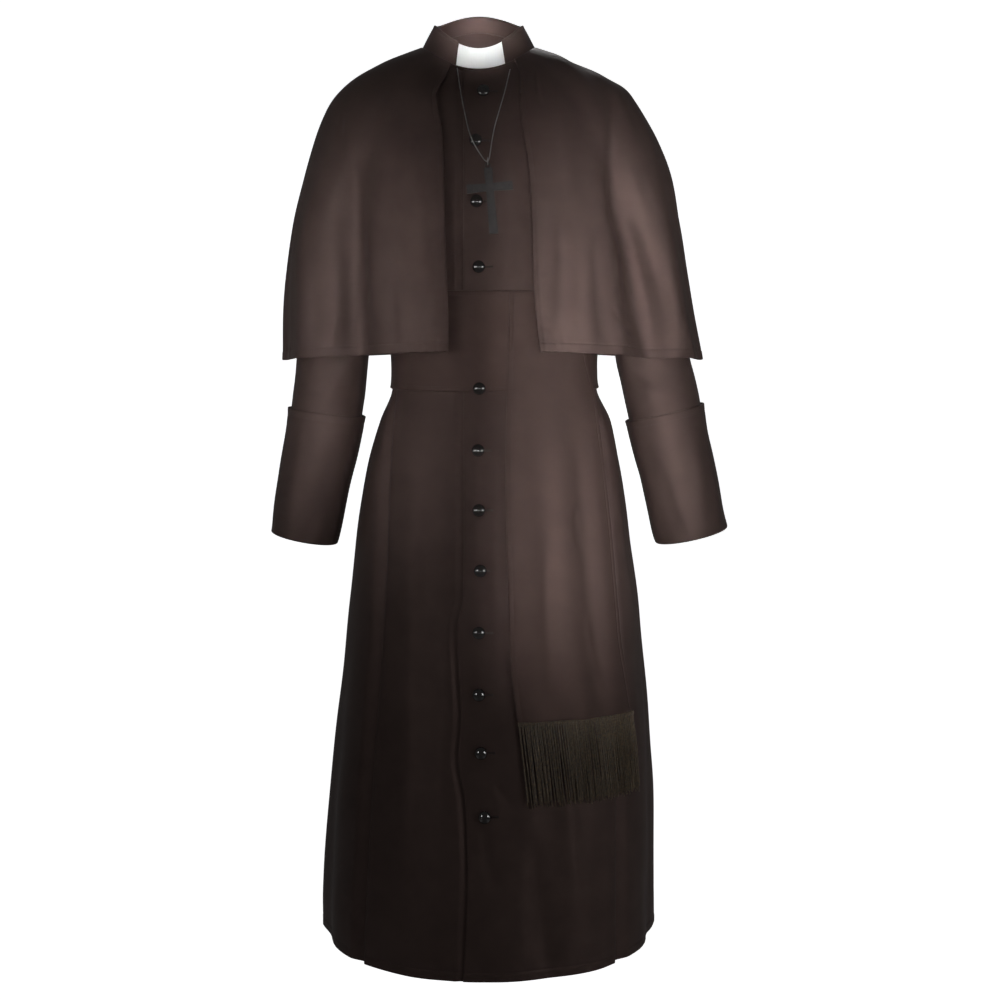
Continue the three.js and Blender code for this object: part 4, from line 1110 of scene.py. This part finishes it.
def join_parts(parts):
    """Joins lists of (points, faces) with the same corners a face into one."""
    points, faces, start = [], [], 0
    for some, corners in parts:
        points.append(some)
        faces.append(corners + start)
        start += len(some)
    return np.concatenate(points), np.concatenate(faces)


def tube(path, radius, sides, closed=False, turn=0.0):
    """A round tube along a path, with its ends closed; radius may vary along it."""
    path = np.asarray(path, dtype=float)
    ahead = np.roll(path, -1, axis=0) if closed else np.vstack([path[1:], path[-1:]])
    behind = np.roll(path, 1, axis=0) if closed else np.vstack([path[:1], path[:-1]])
    way = unit(ahead - behind)
    side = np.zeros_like(path)
    guess = np.array([0.0, 0.0, 1.0]) if abs(way[0][2]) < 0.8 else np.array([0.0, -1.0, 0.0])
    for i, direction in enumerate(way):
        guess = unit(guess - direction * np.dot(guess, direction))
        side[i] = guess
    up = np.cross(way, side)
    radius = np.broadcast_to(radius, len(path))
    turns = np.arange(sides) / sides * FULL + turn
    rings = (
        path[:, None]
        + side[:, None] * (np.cos(turns) * radius[:, None])[..., None]
        + up[:, None] * (np.sin(turns) * radius[:, None])[..., None]
    )
    index = np.arange(len(path) * sides).reshape(len(path), sides)
    nxt = np.roll(index, -1, axis=1)
    first, second = (index, np.roll(index, -1, axis=0)) if closed else (index[:-1], index[1:])
    nfirst, nsecond = (nxt, np.roll(nxt, -1, axis=0)) if closed else (nxt[:-1], nxt[1:])
    faces = np.stack([first, nfirst, nsecond, second], axis=-1).reshape(-1, 4)
    points = rings.reshape(-1, 3)
    if not closed:
        points = np.vstack([points, path[:1], path[-1:]])
        start, end = len(points) - 2, len(points) - 1
        caps = []
        for k in range(0, sides, 2):
            caps.append((start, index[0, (k + 2) % sides], index[0, (k + 1) % sides], index[0, k]))
            caps.append((end, index[-1, k], index[-1, (k + 1) % sides], index[-1, (k + 2) % sides]))
        faces = np.vstack([faces, caps])
    return points, faces


def resample(path, step):
    path = np.asarray(path, dtype=float)
    lengths = np.concatenate([[0], np.cumsum(np.linalg.norm(np.diff(path, axis=0), axis=1))])
    count = max(2, int(round(lengths[-1] / step)) + 1)
    at = np.linspace(0, lengths[-1], count)
    return np.stack([np.interp(at, lengths, path[:, k]) for k in range(3)], axis=1)


# Neck chain: links along the solid's own route
def mixed(low, high, start, end, t):
    return (low * (end - t) + high * (t - start)) / (end - start)


def curve_through(points, steps):
    """Points of a centripetal curve through the given ones."""
    points = np.asarray(points, dtype=float)
    padded = np.vstack([2 * points[0] - points[1], points, 2 * points[-1] - points[-2]])
    made = []
    for i in range(len(points) - 1):
        p = padded[i:i + 4]
        knots = np.concatenate([[0], np.cumsum(np.linalg.norm(np.diff(p, axis=0), axis=1) ** 0.5)])
        for t in np.linspace(knots[1], knots[2], steps, endpoint=False):
            a = [mixed(p[k], p[k + 1], knots[k], knots[k + 1], t) for k in range(3)]
            b = [mixed(a[k], a[k + 1], knots[k], knots[k + 2], t) for k in range(2)]
            made.append(mixed(b[0], b[1], knots[1], knots[2], t))
    made.append(points[-1])
    return np.array(made)


def link_path(centre, way, flat, length, width):
    """The middle line of an oval link: straight sides with round ends."""
    turns = np.arange(16) / 16 * FULL
    reach = (length - width) / 2
    along = np.where(np.cos(turns) > 0, reach, -reach) + width / 2 * np.cos(turns)
    return centre + way * along[:, None] + flat * (width / 2 * np.sin(turns))[:, None]


chain_route = curve_through([front_point(x, z, lift) for x, z, lift in CHAIN], 14)
chain_line = resample(chain_route, LINK_LENGTH - 2 * LINK_WIRE - LINK_PLAY)
chain_parts = []
for i, centre in enumerate(chain_line):
    way = unit(chain_line[min(i + 1, len(chain_line) - 1)] - chain_line[max(i - 1, 0)])
    side = unit(np.cross(way, (0.0, -1.0, 0.0)))
    facing = np.cross(side, way)
    turn = QUARTER / 2 + (QUARTER if i % 2 else 0)
    flat = side * math.cos(turn) + facing * math.sin(turn)
    ring = link_path(centre, way, flat, LINK_LENGTH - LINK_WIRE, LINK_WIDTH - LINK_WIRE)
    chain_parts.append(tube(ring, LINK_WIRE / 2, 5, closed=True))
chain = make_object("neck_chain_links", *join_parts(chain_parts), STEEL)
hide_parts("neck_chain")


# Cloth pieces
def lines(*parts):
    """Grid places from (from, to, count) stretches laid end to end."""
    made = []
    for start, end, count in parts:
        made.extend(np.linspace(start, end, count, endpoint=False))
    made.append(parts[-1][1])
    return np.array(made)

def both_sides(front, back, point, normal, share=1.0):
    """Creases of the front face, and of the back face to a share."""
    return crease_lift(front, point, normal, -1) + share * crease_lift(back, point, normal, 1)


def ground_lift(piece, point, depth_too=True):
    """Soft uneven ground over a piece, along its way round and its height."""
    height, seed, length_round, length_down = GROUNDS[piece]
    place_round = point[..., 0] + point[..., 1] if depth_too else point[..., 0]
    return height * waves(place_round, point[..., 2], seed, length_round, length_down)


def way_round(point, middle_x, radius):
    return np.arctan2(point[..., 0] - middle_x, -point[..., 1]) * radius


def calm_folds(across, edges):
    """Keeps relief off the parts of a panel past its folded edges, where layers lie close."""
    calm = 1
    for edge, inward in edges:
        calm = calm * smooth(edge, edge + inward, across)
    return calm


def skirt_relief(*edges):
    """Relief of a skirt panel; edges are the across of its folded edges and the way in to calm."""
    def relief(across, z, point, normal):
        creases = both_sides(SKIRT_CREASES, BACK_SKIRT_CREASES, point, normal)
        lift = (ground_lift("skirt", point) + creases) * quiet_by_buttons(point)
        away = z - HEM_FRONT_Z
        lift = lift + hem_lift(away, way_round(point, 15, 200), 22) * smooth(60, 40, away)
        return lift * smooth(-482, -520, z) * calm_folds(across, edges)
    return relief


def bodice_relief(across, step, point, normal):
    ground = ground_lift("bodice", point, False)
    creases = both_sides(BODICE_CREASES, BACK_CREASES, point, normal)
    above_band = smooth(-330, -290, point[..., 2])
    return (ground + creases * 0.8) * quiet_by_buttons(point) * above_band


def sleeve_relief(across, station, point, normal):
    creases = both_sides(SLEEVE_CREASES, SLEEVE_CREASES, point, normal, 0.8)
    free = smooth(0.6, 1.6, station) * smooth(CUFF_TOP_STATION, CUFF_TOP_STATION - 0.4, station)
    return (ground_lift("sleeve", point) + creases) * free


def cuff_relief(across, down, point, normal):
    creases = both_sides(CUFF_CREASES, CUFF_CREASES, point, normal, 0.8)
    edge = smooth(WRIST_STATION + 0.2, WRIST_STATION - 0.4, down)
    from_top = down - CUFF_TOP_STATION
    top = 0.35 * bell(from_top / 0.1) - 0.35 * bell((from_top - CUFF_STITCH) / 0.04)
    return np.maximum(ground_lift("cuff", point) + creases, -1.2) * edge + top


def collar_relief(across, up, point, normal):
    edge = 0.25 * bell((up - 0.97) / 0.05) - 0.3 * bell((up - COLLAR_STITCH) / 0.03)
    return edge + 0.25 * waves(across * 300, up * 40, 41, 60, 60)


def insert_relief(across, down, point, normal):
    return 0.12 * waves(across * 90, down * 30, 42, 50, 50)


def cape_relief(form, front_edge=None):
    """Relief of a cape panel; front_edge is the across of its free edge, and the back has none."""
    def relief(across, step, point, normal):
        grown = smooth(0.02, 0.14, step)
        creases = both_sides(CAPE_CREASES, BACK_CREASES, point, normal)
        from_hem = pace_down(form, across, step, 1.0)
        hem = hem_lift(from_hem, way_round(point, 10, 260), 52) * smooth(60, 40, from_hem)
        lift = (ground_lift("cape", point) + creases) * grown + hem
        if front_edge is not None:
            from_edge = pace_across(form, across, step, front_edge)
            turned = hem_lift(from_edge, point[..., 2], 53, FRONT_FOLD) * smooth(40, 25, from_edge)
            waver = 1.2 * waves(point[..., 2], point[..., 2] * 0, 54, 70, 70) * bell(from_edge / 22)
            lift = lift + (turned + waver) * grown
        return lift
    return relief


def band_relief(across, z, point, normal):
    edges = 0
    for away, seed in ((BAND_TOP_Z - z, 62), (z - BAND_FOOT_Z, 63)):
        edges = edges + hem_lift(away, point[..., 0], seed, BAND_FOLD) * smooth(30, 20, away)
    return np.clip(ground_lift("band", point), -0.2, 0.5) + 0.6 * np.maximum(edges, -0.4)


def tail_relief(across, z, point, normal):
    ground = ground_lift("tail", point, False)
    free = 0.2 + 0.8 * smooth(-470, -520, z)
    row = table_row(TAIL, TAIL_COLUMNS, z)
    from_edge = np.minimum(across, 1 - across) * (row["left"] - row["right"])
    turned = hem_lift(from_edge, z, 72, TAIL_FOLD) * smooth(24, 16, from_edge)
    return (ground + crease_lift(TAIL_CREASES, point, normal, -1)) * free + 0.7 * turned


# Grid places: across and down of each piece
ROUND_FOLD = (1, 1.5, 8)
UNDERLAY = (1.5, 2, 3)
HEM_ROWS = (HEM_FRONT_Z + 22, HEM_FRONT_Z, 16)
SKIRT_DOWN = lines((WAIST_SEAM_Z, -480, 8), (-480, HEM_ROWS[0], 120), HEM_ROWS)
GORE_ACROSS = lines((-0.5, 0, 8), (0, 0.3, 14), (0.3, 0.7, 20), (0.7, 1, 14), (1, 1.5, 8))
BODICE_DOWN = lines((0, 0.34, 34), (0.34, 0.74, 40), (0.74, 1, 24))
TURNS = np.linspace(0, FULL, 97)[:-1]
SLEEVE_DOWN = lines((0, 1, 12), (1, 7, 60), (7, WRIST_STATION, 24))
CUFF_DOWN = lines((CUFF_TOP_STATION, 7.7, 12), (7.7, WRIST_STATION, 36), (WRIST_STATION, 12, 6))
CAPE_DOWN = lines((0, 0.9, 110), (0.9, 0.96, 10), (0.96, 1, 26))
BAND_ANGLES = np.linspace(0, FULL, 161)[:-1]
BAND_INNER = (BAND_TOP_Z - 12, BAND_FOOT_Z + 12)
BAND_DOWN = lines(
    (BAND_TOP_Z, BAND_INNER[0], 10), (*BAND_INNER, 20), (BAND_INNER[1], BAND_FOOT_Z, 10),
)
TAIL_ACROSS = lines((0, 0.08, 12), (0.08, 0.92, 50), (0.92, 1, 12))
TAIL_DOWN = lines((TAIL_TOP_Z, TAIL_FOOT_Z, 120))

skirt_right = sew(
    skirt_right_front, skirt_relief((1.0, -0.05)),
    lines((0, 0.2, 8), (0.2, 0.3, 10), (0.3, 1, 36), ROUND_FOLD, UNDERLAY), SKIRT_DOWN,
    "hung", "bodice_right_front",
)
skirt_left = sew(
    skirt_left_front, skirt_relief((1.0, -0.05)), lines((0, 1, 60), ROUND_FOLD, UNDERLAY), SKIRT_DOWN,
    "hung", "bodice_left_front",
)
skirt_behind = sew(
    skirt_back, skirt_relief((1.0, -0.05), (-1.0, 0.05)),
    lines((-2, -1.5, 3), (-1.5, -1, 8), (-1, 1, 80), ROUND_FOLD, UNDERLAY), SKIRT_DOWN,
    "hung", "bodice_back",
)
gores = [
    sew(form, skirt_relief((0.75, -0.1), (0.25, 0.1)), GORE_ACROSS, SKIRT_DOWN, "hung", panel)
    for form, panel in (
        (skirt_right_gore, "skirt_right_front"), (skirt_left_gore, "skirt_left_front"),
    )
]
for form, across in (
    (bodice_right_front, lines((0, 0.7, 30), (0.7, 0.8, 8), (0.8, 1, 8))),
    (bodice_left_front, lines((0, 1, 48))),
    (bodice_back, lines((0, 1, 60))),
):
    sew(form, bodice_relief, across, BODICE_DOWN, "hung", "collar_band")
cuffs = []
for side, table, way in (("right", RIGHT_ARM, -1), ("left", LEFT_ARM, 1)):
    arm = {"inside": None, "closed": True, "pull": 0.2}
    sew(
        sleeve(table, way), sleeve_relief, TURNS, SLEEVE_DOWN, "hung", f"bodice_{side}_front",
        node=f"sleeve_{side}", **arm,
    )
    cuffs.append(sew(
        cuff(table), cuff_relief, TURNS, CUFF_DOWN, "folded", f"sleeve_{side}",
        node=f"cuff_{side}", thickness=CUFF_CLOTH, **arm,
    ))
collar = sew(
    collar_band, collar_relief, lines((0, 1, 140)), lines((0, 0.8, 8), (0.8, 1, 14)),
    "folded", "bodice_back", thickness=COLLAR_CLOTH, inside=NECK_MIDDLE, pull=0.5,
)
sew(
    collar_insert, insert_relief, lines((0, 1, 40)), lines((0, 0.97, 12)), "folded", "collar_band",
    material=WHITE, thickness=INSERT_CLOTH, inside=NECK_MIDDLE, pull=0.3,
)
cape_right, cape_left, cape_behind = [
    sew(form, cape_relief(form, edge), across, CAPE_DOWN, "draped", "collar_band")
    for form, edge, across in (
        (cape_right_front, 1.0, lines((0, 0.9, 84), (0.9, 1, 22))),
        (cape_left_front, 0.0, lines((0, 0.1, 22), (0.1, 1, 84))),
        (cape_back, None, lines((0, 1, 150))),
    )
]
band = sew(
    waist_band, band_relief, BAND_ANGLES, BAND_DOWN, "stretched", "bodice_back",
    material=SASH, thickness=BAND_CLOTH, closed=True, pull=0.5,
)
tail = sew(
    sash_tail, tail_relief, TAIL_ACROSS, TAIL_DOWN, "hung", "waist_band", material=SASH, pull=0.3,
)


# Fringe: twisted strands from a knotted header
def unevenness(seed):
    value = math.sin(seed * 12.9898) * 43758.5453
    return value - math.floor(value)


strand_parts = []
LAYERS = [(4.2, 46), (6.2, 50), (8.4, 54)]
for layer, (lift, count) in enumerate(LAYERS):
    for i in range(count):
        seed = layer * 100 + i + 1
        place = (i + 0.5 + 0.3 * (unevenness(seed + 0.1) - 0.5)) / count
        length = FRINGE_DROP + 6 - FRINGE_UNEVEN * unevenness(seed)
        sway = (unevenness(seed + 0.5) - 0.5) * 0.014
        curl = (unevenness(seed + 0.7) - 0.5) * 0.008
        drops = np.linspace(0.6, length, 22)
        share = drops / length
        across = place + sway * share + curl * np.sin(share * 5 + seed) * share
        wander = 0.5 * np.sin(share * 7 + seed * 1.7)
        path = fringe_point(across, drops, lift + wander)
        radius = 1.0 * (0.8 + 0.2 * bell((share - 0.1) / 0.3)) * np.where(share > 0.97, 0.75, 1)
        strand_parts.append(tube(path, radius * (1 + 0.08 * np.sin(drops * 1.9 + seed)), 6, turn=seed))
strands = make_object("fringe_strands", *join_parts(strand_parts), FRINGE)
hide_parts("sash_fringe")

header_parts = []
HEADER_TURNS = np.linspace(0, FULL, 13)[:-1]
HEADER_KNOTS = 48
across = np.linspace(0, 1, 160)
for lift in (5.4, 8.4):
    for drop in (0.4, 2.2, 4.0):
        path = fringe_point(across, np.full_like(across, drop), lift + 0.4 * np.sin(across * 330))
        path[:, 2] += 0.35 * np.sin(across * 470 + drop)
        header_parts.append(tube(path, 0.95, 6))
for i in range(HEADER_KNOTS):
    ring = fringe_point(
        (i + 0.5) / HEADER_KNOTS + 0.0062 * np.cos(HEADER_TURNS),
        2.6 + 2.3 * np.sin(HEADER_TURNS),
        9.4 + 0.3 * np.cos(2 * HEADER_TURNS),
    )
    header_parts.append(tube(ring, 0.5, 5, closed=True))
make_object("fringe_header", *join_parts(header_parts), FRINGE)


# Sewing: short raised stitches along lines of the cloth
STITCH_PITCH = 3.2
STITCH_LENGTH = 2.3
STITCH_RADIUS = 0.23


def stitch_line(cloth, across, down):
    """Stitches along a line of a cloth, given as its across and down values."""
    across, down = np.broadcast_arrays(np.asarray(across, float), np.asarray(down, float))
    points, normals = cloth.at(across, down, 0.05)
    steps = np.linalg.norm(np.diff(points, axis=0), axis=1)
    lengths = np.concatenate([[0], np.cumsum(steps)])
    count = int(lengths[-1] / STITCH_PITCH)
    reach = np.array([-STITCH_LENGTH / 2, 0, STITCH_LENGTH / 2])
    parts = []
    for i in range(count):
        ends = lengths[-1] * (i + 0.5) / count + reach
        where = np.stack([np.interp(ends, lengths, points[:, k]) for k in range(3)], axis=1)
        normal = unit(np.array([np.interp(ends[1], lengths, normals[:, k]) for k in range(3)]))
        side = np.cross(unit(where[2] - where[0]), normal)
        sunk = normal * STITCH_RADIUS * 0.6
        around = np.array([side, normal, -side, -normal]) * STITCH_RADIUS
        corners = np.vstack([where[0] - sunk, where[2] - sunk, where[1] + sunk + around])
        faces = []
        for k in range(4):
            ahead = 2 + (k + 1) % 4
            faces += [(0, 2 + k, ahead), (1, ahead, 2 + k)]
        parts.append((corners, np.array(faces)))
    return parts


def hem_down(cloth, across, depth):
    """The down at which a hem's stitches lie, a depth from the edge along the cloth."""
    pace = pace_down(cloth.form, across, np.full_like(across, 0.98), 1.0) / 0.02
    return 1.0 - depth / pace


def sew_on(name, parts):
    make_object(name, *join_parts(parts), THREAD)


FINE = np.linspace(0.004, 0.996, 260)
stitches = []
for cloth in (cape_right, cape_left, cape_behind):
    stitches += stitch_line(cloth, FINE, hem_down(cloth, FINE, HEM_FOLD))
for cloth, edge, inward in ((cape_right, 1.0, -1), (cape_left, 0.0, 1)):
    steps = np.linspace(0.03, 0.985, 200)
    probe = np.full_like(steps, edge + 0.02 * inward)
    pace = pace_across(cloth.form, probe, steps, edge) / 0.02
    stitches += stitch_line(cloth, edge + inward * FRONT_FOLD / pace, steps)
sew_on("cape_stitching", stitches)

stitches = []
SKIRT_HEMS = (
    (skirt_left, 0.01, 0.99), (skirt_right, 0.31, 0.99), (skirt_behind, -0.99, 0.99),
    (gores[0], 0.3, 0.7), (gores[1], 0.3, 0.7),
)
for cloth, start, end in SKIRT_HEMS:
    stitches += stitch_line(cloth, np.linspace(start, end, 240), HEM_FRONT_Z + HEM_FOLD)
sew_on("skirt_stitching", stitches)

stitches = []
for z in (BAND_TOP_Z - BAND_FOLD, BAND_FOOT_Z + BAND_FOLD):
    stitches += stitch_line(band, np.linspace(0, FULL, 400), z)
z = np.linspace(TAIL_TOP_Z - 4, TAIL_FOOT_Z + 3, 300)
row = table_row(TAIL, TAIL_COLUMNS, z)
inset = TAIL_FOLD / (row["left"] - row["right"])
for across in (inset, 1 - inset):
    stitches += stitch_line(tail, across, z)
sew_on("sash_stitching", stitches)

stitches = stitch_line(collar, np.linspace(0.004, 0.996, 300), COLLAR_STITCH)
for cloth in cuffs:
    stitches += stitch_line(cloth, np.linspace(0, FULL, 200), CUFF_TOP_STATION + CUFF_STITCH)
sew_on("trim_stitching", stitches)


# Piping round the neck seam
PIPING_LIFT = 2.4
PIPING_RADIUS = 1.25
turns = np.linspace(0, FULL, 181)[:-1]
piping = collar_base(turns, np.zeros_like(turns))
piping = piping + unit(vec(np.sin(turns), -np.cos(turns), 0 * turns - 0.3)) * PIPING_LIFT
make_object("neck_piping", *tube(piping, PIPING_RADIUS, 8, closed=True), SATIN)


# Buttonholes: a slit between two rows of close stitches, closed by a short row at each end
HOLE_HALF = 10
HOLE_SHIFT = 8
HOLE_SECTIONS = [0.16, 0.34, 0.16]
ALONG_ROWS = ((0.25, 0.05), (0.9, 0.4), (1.5, 0.05))
END_ROWS = ((10.0, 0.05), (10.8, 0.4), (11.5, 0.05))


def place_on_front(x, z, lift):
    """The place and the axes to the right, up and out at a point of the dressed front."""
    base = front_point(x, z, lift)
    normal = unit(front_point(x, z, lift + 1) - base)
    up = unit(np.array([0, 0, 1.0]) - normal * normal[2])
    return base, np.array([np.cross(up, normal), up, normal])


hole_parts = []
for number, (z, x) in enumerate(BUTTONS):
    if number == BAND_BUTTON:
        continue
    base, axes = place_on_front(x + HOLE_SHIFT, z, CLOTH / 2)
    stitches = [
        [(along, way * reach, rise) for reach, rise in ALONG_ROWS]
        for along in np.linspace(-HOLE_HALF, HOLE_HALF, 30) for way in (-1, 1)
    ] + [
        [(way * reach, height, rise) for reach, rise in END_ROWS]
        for way in (-1, 1) for height in np.linspace(-1.5, 1.5, 7)
    ]
    hole_parts += [tube(base + np.array(spots) @ axes, HOLE_SECTIONS, 4) for spots in stitches]
sew_on("buttonhole_stitching", hole_parts)


# Buttons: smooth domes on their shanks
def lathe(profile, sides):
    turns = np.arange(sides) / sides * FULL
    rings = np.array([[(r * math.cos(t), r * math.sin(t), h) for t in turns] for r, h in profile[1:-1]])
    points = np.vstack([rings.reshape(-1, 3), (0, 0, profile[0][1]), (0, 0, profile[-1][1])])
    index = np.arange(rings.shape[0] * sides).reshape(-1, sides)
    nxt = np.roll(index, -1, axis=1)
    faces = list(np.stack([index[:-1], nxt[:-1], nxt[1:], index[1:]], axis=-1).reshape(-1, 4))
    foot, top = len(points) - 2, len(points) - 1
    for k in range(0, sides, 2):
        faces.append((foot, index[0, (k + 2) % sides], index[0, k + 1], index[0, k]))
        faces.append((top, index[-1, k], index[-1, k + 1], index[-1, (k + 2) % sides]))
    return points, np.array(faces)


button_points, button_faces = lathe(BUTTON_PROFILE, 40)
for number, (z, x) in enumerate(BUTTONS):
    seat = BAND_LIFT + BAND_CLOTH / 2 if number == BAND_BUTTON else CLOTH / 2
    base, axes = place_on_front(x, z, seat + REST_GAP)
    name = f"button_{number + 1:02d}"
    button = make_object(f"{name}_dome", base + button_points @ axes, button_faces, BUTTON)
    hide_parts(name)

# Cross and ring keep their solids, with softened edges
for name, finish, width in (("cross_pendant", CROSS, 0.5), ("cross_ring", STEEL, 0.1)):
    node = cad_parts[name]
    node.data.materials.clear()
    node.data.materials.append(finish)
    bevel = node.modifiers.new("edges", "BEVEL")
    bevel.width = width * MM
    bevel.segments = 3
    bevel.limit_method = "ANGLE"
    bevel.angle_limit = 40 * DEGREE

# Floor and backdrop in metres: their profiles in Y and Z
FLOOR = [(-6, -1.49), (0.15, -1.49)]
BACKDROP = [
    (0.15, -1.49), (3.2, -1.49), (3.8, -1.4), (4.3, -1.15), (4.6, -0.7), (4.7, 0), (4.7, 2.2),
]
WORLD_STRENGTH = 0.085


def stage_sheet(name, profile, half_width, glow):
    """A plain pale sheet of the set, drawn by its profile."""
    points = [(x, y, z) for y, z in profile for x in (-half_width, half_width)]
    faces = [(2 * k, 2 * k + 1, 2 * k + 3, 2 * k + 2) for k in range(len(profile) - 1)]
    mesh = bpy.data.meshes.new(name)
    mesh.from_pydata(points, [], faces)
    mesh.polygons.foreach_set("use_smooth", [True] * len(faces))
    light = {"Emission Color": (1, 1, 1, 1), "Emission Strength": glow}
    mesh.materials.append(material(f"pale_{name}", (0.85, 0.85, 0.85), 0.9, light)[0])
    sheet = bpy.data.objects.new(name, mesh)
    sheet.visible_diffuse = not glow
    sheet.visible_glossy = not glow
    bpy.context.collection.objects.link(sheet)


stage_sheet("floor", FLOOR, 9, 0.0)
stage_sheet("backdrop", BACKDROP, 2.6, 1.0)

world = bpy.data.worlds.new("studio")
world.use_nodes = True
set_inputs(world.node_tree.nodes["Background"], {"Color": (1, 1, 1, 1), "Strength": WORLD_STRENGTH})
bpy.context.scene.world = world

# Each light: place, aim, width, height, spread in degrees, power and whether it only glints
LIGHTS = [
    ("strip_right", (1.5, -1.35, -0.7), (0.24, -0.05, -0.85), 0.25, 1.1, 30, 0.24, False),
    ("strip_left", (-1.5, -1.3, -0.4), (-0.23, -0.05, -0.4), 0.25, 0.6, 24, 0.17, False),
    ("soft_right", (0.12, -3.2, -0.5), (0.19, 0, -0.46), 0.08, 0.7, 8, 0.66, False),
    ("soft_left", (0.0, -3.2, -0.4), (-0.18, 0, -0.38), 0.06, 0.5, 7, 0.21, False),
    ("neck_light", (0.05, -2.4, 0.15), (0.0, 0, 0.04), 0.05, 0.05, 4, 0.07, False),
    ("glint_right", (1.7, -2.45, -0.35), (0.1, 0, -0.35), 0.35, 0.9, 150, 8.0, True),
    ("glint_left", (-1.7, -2.45, -0.25), (-0.1, 0, -0.3), 0.35, 0.7, 150, 6.0, True),
    ("back_light", (0.25, 2.6, 1.6), (0.03, 0.1, -0.72), 0.5, 0.5, 24, 1.4, False),
]
for name, place, aim, width, height, light_spread, power, glint in LIGHTS:
    data = bpy.data.lights.new(name, "AREA")
    data.shape = "RECTANGLE"
    data.size = width
    data.size_y = height
    data.energy = power
    data.spread = light_spread * DEGREE
    light = bpy.data.objects.new(name, data)
    light.location = place
    light.rotation_euler = (Vector(aim) - Vector(place)).to_track_quat("-Z", "Y").to_euler()
    light.visible_diffuse = not glint
    bpy.context.collection.objects.link(light)

bpy.context.scene.view_settings.view_transform = "Standard"
